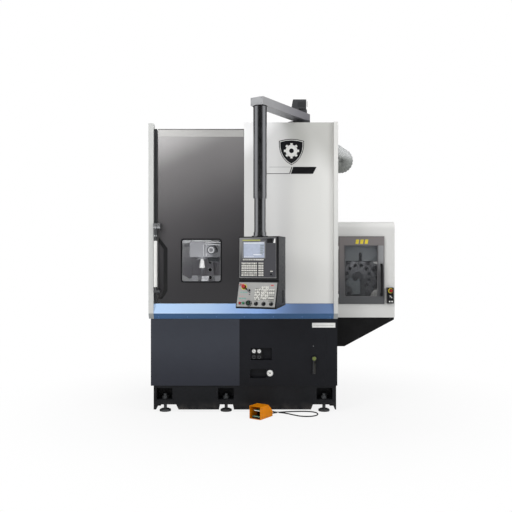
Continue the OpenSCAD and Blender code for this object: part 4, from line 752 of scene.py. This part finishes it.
p = Part("console_knob_rings", "panel", CONSOLE_AT)
p.ring((STOP_X, STOP_Y, 3), Z, 22.4, 30, 2.6, "yellow", 0.6)
for x, y in ((44, 40), (80, 40), (127, DEEP - 90)):
    p.ring((x, y, 3), Z, 13.2, 17.7, 3.4, "silver_edge", 0.8, 28)
for x in KNOB_XS:
    p.ring((x, KNOB_Y, 3), Z, 17.4, 23, 1.4, "key_dark", 0.4, 36)
    for c, s in circle(12, 25.5, -30)[:9]:
        u, v = x + c, KNOB_Y + s
        p.box((u - 1, v - 1, 3.2), (u + 1, v + 1, 4.0), "key_dark", 0.2, 1)
p.done("machined_steel")

p = Part("console_knob_caps", "panel", CONSOLE_AT)
for x, mat in ((44, "red"), (80, "green")):
    p.rod((x, 40, 14.6), (x, 40, 17.5), 11, mat, 1.2)
p.box((124.5, DEEP - 99, 18.6), (129.5, DEEP - 81, 27), "silver_edge", 1.2)
for x in KNOB_XS:
    p.box((x - 1, KNOB_Y + 4, 24.6), (x + 1, KNOB_Y + 15.5, 25.6), "gauge_white", 0.3, 1)
p.done("black_plastic")

# two small knobs between the stop button and the key switch
p = Part("console_small_knobs", "panel", CONSOLE_AT)
for x, y, mat in ((95, DEEP - 76, "black"), (24, DEEP - 30, "pink")):
    p.rod((x, y, 3), (x, y, 7), 10, "key_dark", 1.0, 24)
    p.rod((x, y, 7), (x, y, 17), 7.5, mat, 1.8, 20)
p.done("black_plastic")

p = Part("handwheel_dial", "handwheel", CONSOLE_AT)
wx, wy = 138, 40
p.ring((wx, wy, 14.8), Z, 26.5, 31.2, 1.6, "silver_edge", 0.5, 48)
for k, (c, s) in enumerate(circle(36)):
    far = 29.8 if k % 3 else 30.4
    lo = (wx + 28.2 * c - 0.35, wy + 28.2 * s - 0.35, 16.2)
    p.box(lo, (wx + far * c + 0.35, wy + far * s + 0.35, 16.8), "black", 0.1, 1)
grip = [(0, -2), (3, -2), (4.6, 2), (6.6, 7), (6.9, 12), (5.6, 15.6), (0, 16)]
p.turned((wx + 20, wy, 22), Z, grip, "key_dark", 24)
p.ring((wx, wy, 22.6), Z, 9.5, 12.5, 1.4, "green", 0.5, 32)
p.done("near_black")

p = Part("stop_button_cap", "stop_button", CONSOLE_AT)
dome = [(0, 17.5), (19.2, 17.5), (20.2, 19), (20.4, 24), (19.0, 30), (15.5, 33.2), (8, 34.6), (0, 34.9)]
p.turned((STOP_X, STOP_Y, 3), Z, dome, "red", 40)
p.ring((STOP_X, STOP_Y, 36.0), Z, 9.5, 11.0, 0.9, "gauge_white", 0.3, 36)
p.done("red_plastic")


# ---- casing
# dark strip between the left post and the door: the post's inner side, its darkness painted shade in the
# reveal
p = Part("post_reveal_shade")
p.box((56.5, 2.5, 1212), (91, 9, 3148), "post_dark", 1.5)
p.done("near_black")

# the door's bent top edge as a flat light strip: a painted highlight where that edge catches the light
p = Part("door_top_flange_highlight", "door")
p.box((100, 8.6, 3062), (1050, 12.6, 3144.6), "door_strip", 2.5)
p.done("door_grey")

p = Part("lower_panel_joints")
for x0, x1 in ((1004.5, 1009.5), (1973, 1977)):
    p.box((x0, -0.9, 296), (x1, 1.2, 1036), "dark_seam", 0.4)
p.box((60, -0.8, 294), (2072, 1.2, 297.5), "dark_seam", 0.4)
p.done("near_black")

# quarter-turn locks of the lower panels
p = Part("panel_locks")
LOCKS = (120, 960), (960, 960), (120, 360), (960, 360), (1052, 960), (1052, 360), (1940, 360), (2028, 360)
for x, z in LOCKS:
    finish = "navy_left" if x < 1000 else "navy_right"
    p.ring((x, 0.4, z), FRONT, 5, 8, 1.6, finish, 0.5, 24)
    p.rod((x, 0.4, z), (x, -1.0, z), 4.9, finish, 0.5, 20)
    p.box((x - 3.6, -1.5, z - 0.8), (x + 3.6, -0.9, z + 0.8), "dark_seam", 0.3, 1)
p.done("navy_grey")

# blank name plate with its four screws
p = Part("blank_name_plate")
p.box((1811, -2.6, 942), (2068, 0.6, 995), "gauge_white", 0.9)
p.box((1824, -2.9, 966), (2052, -2.3, 969), "panel", 0.2)
for x, z in product((1816, 2063), (946.5, 990.5)):
    p.screw((x, -2.4, z), FRONT, 2.2, "steel", 1.2)
p.done("gauge_white")

# the slanted stripe on the front cover, left plain
p = Part("cover_stripe")
for a, b, c, d in ((1575, 1820, 1860, 1600), (1556, 1566, 1591, 1581)):
    p.plate([(a, 2648), (b, 2648), (c, 2726), (d, 2726)], -1.1, 0.4, "black", 0.3)
p.plate([(1296, 2648), (1552, 2648), (1554, 2654), (1298, 2654)], -1.0, 0.4, "black", 0.2)
p.plate([(1330, 2722), (1574, 2722), (1576, 2726), (1332, 2726)], -1.0, 0.4, "panel", 0.2)
p.done("near_black")

# a plain shield with a gear on it, where the machine carries a badge
half = [(0, 100), (50, 96), (100, 84), (99, 40), (90, -4), (70, -46), (42, -80), (0, -108)]
shield = half + [(-x, z) for x, z in half[:0:-1] if x]
p = Part("plain_badge")
bx, bz = 1582, 2896
layers = (1.40, -1.0, 0.4, "black"), (1.31, -1.4, -0.7, "gauge_white"), (1.25, -1.8, -1.1, "black")
for size, y0, y1, finish in layers:
    p.plate([(bx + size * x, bz + size * z) for x, z in shield[::-1]], y0, y1, finish, 0.2)
p.ring((bx, -1.6, bz + 8), FRONT, 26, 66, 0.7, "gauge_white", 0.2, 64)
for k in range(8):
    turn = around((bx, 0, bz + 8), 45 * k)
    p.box((bx + 58, -2.3, bz - 5), (bx + 84, -1.6, bz + 21), "gauge_white", 0.2, 1, turn)
p.done("near_black")

# cap screws under the nose of the belt cover
p = Part("belt_screws")
for x in (110, 430, 750, 1060, 1380, 1700, 2010):
    p.screw((x, -13.6, 1062), (0, -0.88, -0.48), 6, "belt_dark", 2.0)
p.done("belt_blue")

p = Part("window_frame_screws", "door")
for x, z in [*product((360, 580, 800), (1449, 1922)), (360, 1607), (800, 1607), (360, 1762), (800, 1762)]:
    p.screw((x, 9.2, z), FRONT, 3.4, "black", 1.2)
p.done("near_black")


# ---- seen through the windows
MAGAZINE_X, MAGAZINE_Z = 2429, 1490

p = Part("magazine_guard")
p.box((2170, 452, 1677), (2650, 457, 1905), "guard_plate")
p.box((2170, 448, 1674), (2650, 460, 1681), "tool_dark")
p.rod((2420, 446, 1690), (2420, 446, 1772), 15, "tool_dark", 2.0, 24)
p.rod((2420, 446, 1772), (2420, 446, 1786), 9, "steel_dull", 1.5, 20)
p.box((2404, 440, 1682), (2436, 453, 1692), "tool_dark", 1.5)
for x, z in product((2190, 2630), (1700, 1885)):
    p.screw((x, 452, z), FRONT, 5, "steel")
p.done("light_grey_paint")

p = Part("magazine_bracket")
p.plate(
    [(2262, 1452), (2258, 1414), (2288, 1384), (2328, 1362), (2334, 1284), (2424, 1284), (2420, 1440),
     (2408, 1474), (2384, 1450), (2352, 1440), (2330, 1470), (2300, 1492), (2290, 1470)],
    488, 506, "bracket_blue", 2.5,
)
p.box((2330, 488, 1030), (2428, 506, 1290), "tool_dark", 2.0)
for x, z in ((2378, 1330), (2378, 1400), (2300, 1430)):
    p.screw((x, 488.5, z), FRONT, 8, "steel")
p.done("casting_grey")

p = Part("magazine_pocket_forks", "magazine")
for k in range(12):
    m = shift(MAGAZINE_X, 730, MAGAZINE_Z) @ spin(k * 30, "Y")
    p.ring((235, -42, 0), FRONT, 31.6, 38, 9, "fork", 1.2, 28, m)
    p.ring((235, -94, 0), FRONT, 14, 18.5, 6, "fork", 0.8, 24, m)
    p.box((188, -52, -9), (206, -40.5, 9), "fork", 1.5, 2, m)
p.ring((MAGAZINE_X, 684, MAGAZINE_Z), FRONT, 36, 59, 4, "steel_dull", 1.0, 48)
p.ring((MAGAZINE_X, 736, MAGAZINE_Z), FRONT, 96, 178, 4, "tool_dark", 1.0, 72)
p.done("machined_steel")

# chamber: wall ribs, a sloped plate, and the three ports of the wash manifold, with black discs in the ports
# as painted shade
p = Part("chamber_panels")
wy, PORT_Y = 1246.0, 1156.0
p.box((260, wy - 26, 1866), (446, wy, 1894), "boss", 2.0)
p.box((424, wy - 30, 1700), (446, wy, 1894), "boss", 2.0)
slope = [(180, 1530), (212, 1516), (330, 1448), (336, 1400), (180, 1400)]
p.plate(slope, wy - 16, wy - 1, "panel_wall", 2.0)
for x in (280, 352, 434):
    p.screw((x, wy - 26, 1880), FRONT, 5)
for z in (1470, 1570, 1670):
    p.rod((597, PORT_Y + 18, z), (597, PORT_Y + 16, z), 22.6, "black_matt", 0.3, 32)
    p.ring((597, PORT_Y - 0.2, z), FRONT, 23, 27, 1.6, "boss", 0.6, 32)
p.done("stainless")

# bright strips round the inside of the window: partly the frame's real trim, partly a painted highlight for
# the bright line along the window's top
p = Part("window_inner_trim_highlight", "door")
for a, b in (
    ((368.3, 13.2, 1909), (791.7, 15.8, 1913.8)),
    ((368.3, 13.2, 1457.3), (370.5, 15.8, 1909)),
    ((789.5, 13.2, 1457.3), (791.7, 15.8, 1909)),
    ((368.3, 13.2, 1457.3), (791.7, 15.8, 1459)),
):
    p.box(a, b, "bright_steel", 0.8)
p.done("stainless")

# tool head dressing: a flange, ribs and hoses
p = Part("tool_head_dressing", "ram")
FLANGE_X, FLANGE_Z = 646, 1815
p.ring((FLANGE_X, 638, FLANGE_Z), FRONT, 22, 40, 7, "boss", 2.0, 48)
p.ring((FLANGE_X, 638.5, FLANGE_Z), FRONT, 40, 52, 3, "tool_dark", 0.6, 40)
for c, s in circle(6, 31, 30):
    p.screw((FLANGE_X + c, 631.5, FLANGE_Z + s), FRONT, 4)
for x in (552, 588):
    p.box((x - 5, 640.5, 1738), (x + 5, 644.4, 1880), "boss", 1.2)
p.box((564, 634, 1880), (768, 657, 1890), "boss", 3.0, 2, around((634, 658, 1889), 4))
p.box((568, 628, 1905), (758, 654, 1915), "bright_steel", 2.5)
p.box((597, 706, 1676), (738, 711, 1728), "tool_dark", 1.5)
p.tube([(772, 755, 1712), (772, 752, 1690), (772, 748, 1640), (772, 747, 1584)], 8.5, "bright_steel", 14)
p.tube([(654, 654, 1850), (686, 642, 1862), (712, 644, 1830), (718, 656, 1790)], 7, "black")
p.done("machined_steel")


# ---- magazine cabinet outside
# door: raised rim of the pane, plain marks in place of the lettering, stile by the handle
p = Part("atc_door_trim", "atc_door")
FY = 375.0
p.box((2617, FY - 1.2, 1480), (2679, FY + 0.5, 1862), "stile", 0.8)
border(p, (2218, 1263, 2614, 1866), (2228, 1273, 2604, 1856), FY - 3.2, FY + 0.5, "atc_rim", 1.4)
for k in range(3):
    x = 2348 + k * 54
    p.plate([(x, 1882), (x + 36, 1882), (x + 44, 1932), (x + 8, 1932)], FY - 1.6, FY + 0.4, "yellow", 0.5)
p.done("near_black")

p = Part("atc_door_seam")
border(p, (2155, 1179, 2692, 1970), (2159, 1183, 2688, 1966), 397.2, 400.6, "dark_seam", 0.6)
p.done("near_black")


# ---- gauges on the lower right panel
def dial(part, x, y, z, r, ticks, hand, rim=0.78, edge="knob_rim"):
    """A round gauge face with its rim, scale marks and hand, looking to the front."""
    part.ring((x, y, z), FRONT, r * rim, r, 6, edge, 0.9, 40)
    part.rod((x, y, z), (x, y - 2.4, z), r * rim + 0.2, "gauge_white", 0.3, 40)
    r *= rim
    for k in range(ticks):
        inner = x - r * (0.72 if k % 2 else 0.66)
        t = around((x, y, z), -45 + 270 * k / (ticks - 1))
        part.box((x - r * 0.82, y - 2.9, z - r * 0.02), (inner, y - 2.2, z + r * 0.02), "needle", 0.1, 1, t)
    t = around((x, y, z), hand)
    half = r * 0.045
    part.box((x - r * 0.72, y - 3.6, z - half), (x + r * 0.3, y - 2.8, z + half), "needle", 0.15, 1, t)
    part.rod((x, y - 2.2, z), (x, y - 4.2, z), r * 0.24, "needle", 0.3, 20)


GAUGE_Z, REGULATOR_Z = 680, 616

p = Part("gauge_faces")
for x, hand in ((1165, 40), (1223, 65)):
    dial(p, x, 2.2, GAUGE_Z, 26, 11, hand)
    p.ring((x, 4.2, REGULATOR_Z), FRONT, 20.5, 23, 3, "knob_rim", 0.6, 32)
    p.ring((x, -12, REGULATOR_Z), FRONT, 12, 16.5, 2.6, "knob_rim", 0.7, 28)
    for k in range(12):
        t = around((x, 0, REGULATOR_Z), 30 * k)
        p.box((x - 19.2, -11, REGULATOR_Z - 1.4), (x - 17.6, 3, REGULATOR_Z + 1.4), "black", 0.3, 1, t)
dial(p, 1343, -10.5, 438, 36, 13, 20, 0.88, "gauge_rim")
p.done("gauge_white")

p = Part("sight_gauge")
p.rod((1832, -34.2, 602), (1832, -37, 602), 21, "olive", 1.2, 32)
p.ring((1832, -22, 602), FRONT, 23.2, 25, 10, "knob_rim", 0.8, 32)
for k in range(10):
    p.box((1807.4, -33, 600.4), (1809.2, -23, 603.6), "olive", 0.4, 1, around((1832, 0, 602), 36 * k))
p.box((1835, -22.4, 436), (1845, -19.8, 572), "olive_glass")
p.box((1816, -21.6, 430), (1834, -19.8, 578), "needle", 0.8)
for z in (434, 574):
    p.screw((1840, -20, z), FRONT, 3)
p.rod((1825, 0.6, 737), (1825, -3.4, 737), 6, "steel_dull", 1.0, 20)
p.done("gauge_white")


# ---- sliding door's handle
p = Part("handle_sleeve", "door")
hx, hy = 81, -56  # the middle of the handle's bar
p.rod((hx, hy, 1393), (hx, hy, 1904), 19.8, "gauge_white", 3.0, 36)
for z in (1388, 1903):
    p.ring((hx, hy, z), Z, 11.4, 18.4, 6, "black_matt", 0.8, 32)
p.ring((hx, hy, 1950), Z, 17.2, 19.6, 16, "gauge_rim", 1.2, 32)
p.box((60, hy - 17.2, 2040), (133, hy - 15.2, 2095), "gauge_rim")
p.box((94, hy - 18, 2036), (100, hy - 15.2, 2095), "foot", 0.6)
p.done("light_grey_paint")

# painted shadow along the grip recess beside the handle, and a dark line along the door's top edge
p = Part("grip_recess_shadow_and_top_line", "door")
p.plate(
    [(100, 1957), (201, 1825), (201, 1349), (144, 1261), (118, 1261), (158, 1352), (158, 1812), (100, 1898)],
    31, 36.5, "recess_dark", 1.0,
)
p.box((100, 8.3, 3139), (1054, 12.4, 3144.7), "recess_dark", 0.8)
p.done("near_black")


# ---- buttons on the magazine cabinet
p = Part("cabinet_buttons")
p.ring((2754, 342.5, 1336), FRONT, 14, 29, 3, "yellow", 0.5, 36)
dome = [(0, 0), (20, 0), (22.6, 3), (22.8, 9), (21, 14.5), (15, 18.2), (0, 19.5)]
p.turned((2754, 326, 1336), FRONT, dome, "red")
p.ring((2754, 342.5, 1266), FRONT, 15.2, 19, 3, "knob_rim", 0.5, 30)
p.box((2750.4, 326, 1246), (2757.6, 332.5, 1286), "gauge_white", 1.6, 2, around((2754, 330, 1266), -42))
for x in (2741, 2769):
    p.ring((x, 342.5, 1210), FRONT, 9.2, 12, 2.4, "knob_rim", 0.5, 24)
    p.rod((x, 334.6, 1210), (x, 331.6, 1210), 8.6, "gauge_white", 0.8, 24)
for x, z in product((2723, 2785), (1192, 1366)):
    p.screw((x, 342.3, z), FRONT, 2.6)
p.done("red_plastic")


# ---- duct and roof motor
DUCT_Y, DUCT_Z = 1200, 2897

p = Part("duct_collar")
for k in range(2):
    p.ring((W + 0.5 + 16 * k, DUCT_Y, DUCT_Z), X, 78.2, 88 - 4 * k, 10, "cast_light", 1.4, 56)
for c, s in circle(8, 83, 22.5):
    p.screw((W + 10, DUCT_Y + c, DUCT_Z + s), X, 3.4)
web = [(W + 0.2, 2965), (2292, 2970), (2292, 2992), (2250, 3014), (W + 0.2, 3118)]
p.plate(web, DUCT_Y - 12, DUCT_Y + 12, "duct", 2.0)
p.done("light_grey_paint")

p = Part("extractor_details")
cx, cy = 1725, 1000
for z in (3185, 3230, 3275):
    p.ring((cx, cy, z), Z, 150.2, 153.5, 8, "black", 1.2, 64)
for k in range(9):
    x = cx - 12 + 14 * k
    p.box((x, cy - 85.8, TOP + 464), (x + 5, cy - 84.4, TOP + 536), "black", 0.6, 1)
for z in (3486.5, 3424.5):
    p.ring((cx + 56, cy, z), Z, 67.2, 69.6, 14, "knob_rim", 1.0, 48)
for c, s in circle(6, 160, 30):
    p.screw((cx + c, cy + s, 3161), Z, 6)
p.done("motor_grey")


# ---- pendant arm
ARM_AT = shift(1230, -500, 3280) @ Matrix.Rotation(math.atan2(722, 480), 4, "Z")
ARM_LENGTH = 866.9
p = Part("arm_plates", "arm", ARM_AT)
p.box((-64.8, -71, 5), (-63.4, 71, 77), "arm_end", 0.6)
for y, z in product((-58, 58), (14, 68)):
    p.screw((-64.5, y, z), LEFT, 4)
p.ring((0, 0, -9), Z, 68, 73.5, 9.2, "black_matt", 1.2, 56)
p.ring((ARM_LENGTH, 0, 81.5), Z, 12, 46, 5, "black_matt", 1.2, 44)
for c, s in circle(4, 34, 45):
    p.screw((ARM_LENGTH + c, s, 86), Z, 5)
p.done("light_grey_paint")


# ---- foot switch
PEDAL_AT = shift(1315, -119, 0) @ spin(-35) @ shift(0, -243, 0)
p = Part("treadle_strips", "treadle", PEDAL_AT @ shift(0, 150, 62) @ spin(-6, "X"))
for k in range(5):
    y = -92.5 + 16 * k
    p.box((-36, y, 15.2), (36, y + 7, 17.2), "pale_green" if k % 2 == 0 else "treadle", 0.5)
# a white bar along the treadle's front edge: painted highlight
p.box((-37, -113.4, 7), (37, -111.8, 15), "gauge_white", 0.4)
p.done("pedal_green")
p = Part("pedal_base_pad", at=PEDAL_AT)
p.box((-50, 26, 21.6), (50, 66, 25), "pale_green")
for k in range(6):
    p.box((-50 + 17 * k, 30, 24.6), (-42 + 17 * k, 62, 26.4), "treadle", 0.5)
for x in (-46, 46):
    p.screw((x, 90, 22), Z, 3.4)
p.done("pedal_green")
p = Part("guard_details", at=PEDAL_AT)
for s in (-1, 1):
    for y, z in ((30, 20), (30, 112), (120, 20), (150, 112), (205, 36)):
        p.screw((s * 70.2, y, z), (s, 0, 0), 4)
p.done("safety_orange")


# ---- chuck and jaws
CHUCK_AT = shift(577, 800, 0)
CHUCK_R, CHUCK_TOP = 304.0, 1380.0
p = Part("chuck_details", "spindle", CHUCK_AT)
p.ring((0, 0, 1336), Z, CHUCK_R + 0.2, CHUCK_R + 1.5, 2.4, "tool_dark", 0.3, 128)
for c, s in circle(3, 1, -30):
    r, far = CHUCK_R + 0.6, CHUCK_R + 1.6
    p.ring((r * c, r * s, 1300), (c, s, 0), 11, 17, 1.6, "steel_dull", 0.5, 28)
    p.rod((CHUCK_R * c, CHUCK_R * s, 1300), (far * c, far * s, 1300), 10.8, "black_matt", 0.2, 24)
    for x, y in ((120 * c, 120 * s), (285 * c, 285 * s)):
        p.rod((x, y, CHUCK_TOP - 0.4), (x, y, CHUCK_TOP + 2.4), 9, "tool_dark", 0.8, 24)
        p.rod((x, y, CHUCK_TOP + 2.2), (x, y, CHUCK_TOP + 2.7), 4.4, "black_matt", 0.1, 6)
p.done("machined_steel")

JAW_R = 284.0
for i in range(3):
    at = CHUCK_AT @ spin(-90 + 120 * i)
    p = Part("jaw_%d_screws" % (i + 1), "jaw_%d" % (i + 1), at)
    for r, z in ((JAW_R - 20, CHUCK_TOP + 6), (JAW_R - 68, CHUCK_TOP + 40)):
        p.rod((r, 0, z), (r, 0, z + 17), 13.4, "tool_dark", 1.4, 32)
        p.rod((r, 0, z + 16.8), (r, 0, z + 17.4), 7.2, "black_matt", 0.2, 6)
    p.done("machined_steel")


# ---- sides, back and roof
p = Part("side_seams")
for y in (700, 1320):
    p.box((-0.15, y, 1112), (0.8, y + 3, TOP - 30), "side_line", 0.2, 1)
p.box((-0.15, 110, 2150), (0.8, D - 30, 2153), "side_line", 0.2, 1)
for y0, z0, y1, z1 in ((1420, 1112, 1423, TOP - 30), (1423, 2150, D - 30, 2153), (110, 2250, 1420, 2253)):
    p.box((W - 0.8, y0, z0), (W + 1.2, y1, z1), "side_line", 0.3, 1)
p.done("near_black")

p = Part("rear_cabinet_doors")
for x in (240, 1048, 1856):
    p.box((x, D - 0.8, 620), (x + 3, D + 0.15, 2460), "side_line", 0.2, 1)
for z in (620, 2457):
    p.box((240, D - 0.8, z), (1859, D + 0.15, z + 3), "side_line", 0.2, 1)
for x in (985, 1078):
    p.box((x, D - 0.8, 1440), (x + 34, D + 0.2, 1620), "black", 0.3)
    p.box((x + 6, D, 1470), (x + 28, D + 0.3, 1590), "steel_dull", 0.3)
for x, z in product((246, 1838), (760, 1540, 2320)):
    p.box((x, D - 0.8, z - 45), (x + 15, D + 0.2, z + 45), "panel", 0.3)
p.box((1500, D - 0.8, 2560), (1780, D + 0.15, 2760), "panel", 0.3)
for x, z in product((1512, 1768), (2572, 2748)):
    p.rod((x, D, z), (x, D + 0.3, z), 6, "steel_dull", 0.2, 20)
p.done("near_black")

p = Part("panel_screws")
for y, z in product((180, 640, 760, 1260, 1380, 1890), (1150, 2100, 2204, 3090)):
    p.rod((0.2, y, z), (-0.2, y, z), 6, "steel_dull", 0.3, 20)
for ys, zs in (((1480, 1890), (1150, 2100, 2204, 3090)), ((180, 700, 1360), (2304, 3090))):
    for y, z in product(ys, zs):
        p.rod((W - 0.2, y, z), (W + 1.6, y, z), 6, "steel_dull", 0.5, 20)
p.done("machined_steel")

p = Part("roof_fittings")
foot = [(0, 0), (26, 0), (26, 10), (18, 13), (13, 20), (0, 20)]
for x, y in ((160, 620), (1935, 620), (160, 1800), (1935, 1800)):
    p.turned((x, y, TOP - 0.5), Z, foot, "steel_dull", 28)
    p.ring((x, y - 7, TOP + 46), Y, 18, 31, 14, "steel_dull", 4.5, 36)
conduit = ((1610, 250), (1560, 380), (1500, 560), (1480, 800), (1480, 1200), (1480, 1600), (1480, 1860))
p.tube([(x, y, TOP + 18) for x, y in conduit], 16, "black_matt", 16)
for x, y in ((1500, 560), (1480, 1000), (1480, 1500)):
    p.box((x - 30, y - 10, TOP - 0.6), (x + 30, y + 10, TOP + 3), "steel_dull", 0.8)
    p.ring((x, y - 9, TOP + 18), Y, 16.2, 19, 18, "steel_dull", 0.8, 28)
p.turned((1480, 1860, TOP - 0.5), Z, [(0, 0), (34, 0), (34, 14), (28, 36), (0, 36)], "black_matt", 32)
for y in (700, 1320):
    p.box((6, y, TOP - 0.6), (W - 6, y + 3, TOP + 0.8), "side_line", 0.3, 1)
p.done("casting_grey")


# ---- floor, light
WHITE = (1, 1, 1, 1)

n = material("floor")
n.fill(n.shader, Base_Color=(0.86, 0.86, 0.86, 1), Roughness=0.9, Specular_IOR_Level=0.1)
lit = n.fill(n.new("ShaderNodeEmission"), Color=WHITE, Strength=1.0)
# whiter further out, so that the floor meets the background without an edge
reach = n.new("ShaderNodeVectorMath", operation="LENGTH")
n.give(n.coord, reach.inputs[0])
whiter = n.math("MULTIPLY", n.seen_straight()[0], n.ramp(reach.outputs["Value"], 1.4, 3.6, 0.85, 1.0))
n.give(n.blend(whiter, n.shader.outputs[0], lit.outputs[0]), n.t.nodes["Material Output"].inputs["Surface"])
mesh = bpy.data.meshes.new("floor")
mesh.from_pydata([(-40, -40, 0), (40, -40, 0), (40, 40, 0), (-40, 40, 0)], [], [(0, 1, 2, 3)])
mesh.materials.append(n.owner)
floor = bpy.data.objects.new("floor", mesh)
SCENE.collection.objects.link(floor)

SCENE.world = bpy.data.worlds.new("studio")
n = Nodes(SCENE.world)
straight, glossy = n.seen_straight()
back = n.fill(n.t.nodes["Background"], Color=WHITE, Strength=0.62)
white = n.fill(n.new("ShaderNodeBackground"), Color=WHITE, Strength=1.0)
sky = n.blend(straight, back.outputs[0], white.outputs[0])
# What shiny faces see: white behind and above the machine, a darker room in front of it.
split = n.new("ShaderNodeSeparateXYZ")
n.give(n.coords["Generated"], split.inputs[0])
depth = split.outputs["Y"]
front = n.ramp(depth, -0.8, -0.58, 0.02, 1.0, "LINEAR")
behind = n.ramp(depth, 0.08, 0.36, 1.0, 0.08, "LINEAR")
room = n.fill(n.new("ShaderNodeBackground"), Color=WHITE, Strength=n.math("MULTIPLY", front, behind))
n.give(n.blend(glossy, sky, room.outputs[0]), n.t.nodes["World Output"].inputs["Surface"])


def lamp(name, where, aim, size, power, glossy=True):
    data = bpy.data.lights.new(name, "AREA")
    data.shape = "RECTANGLE"
    data.size, data.size_y = size
    data.energy = power
    obj = bpy.data.objects.new(name, data)
    obj.location = where
    obj.rotation_euler = (Vector(aim) - Vector(where)).to_track_quat("-Z", "Y").to_euler()
    obj.visible_glossy = glossy
    SCENE.collection.objects.link(obj)


lamp("key", (-5.5, -7.5, 6.0), (0, 0, 1.6), (4.0, 4.0), 340, False)
lamp("fill", (6.5, -6.0, 4.0), (0.3, 0, 1.6), (3.5, 3.5), 170, False)
lamp("back", (1.0, 7.0, 6.5), (0, 0, 1.8), (4.0, 3.0), 140)
lamp("chamber", P(560, 96, 1640), P(560, 1200, 1600), (0.8, 0.8), 11, False)
lamp("magazine", P(2400, 430, 1960), P(2400, 700, 1400), (0.4, 0.05), 7, False)

SCENE.view_settings.view_transform = "Standard"
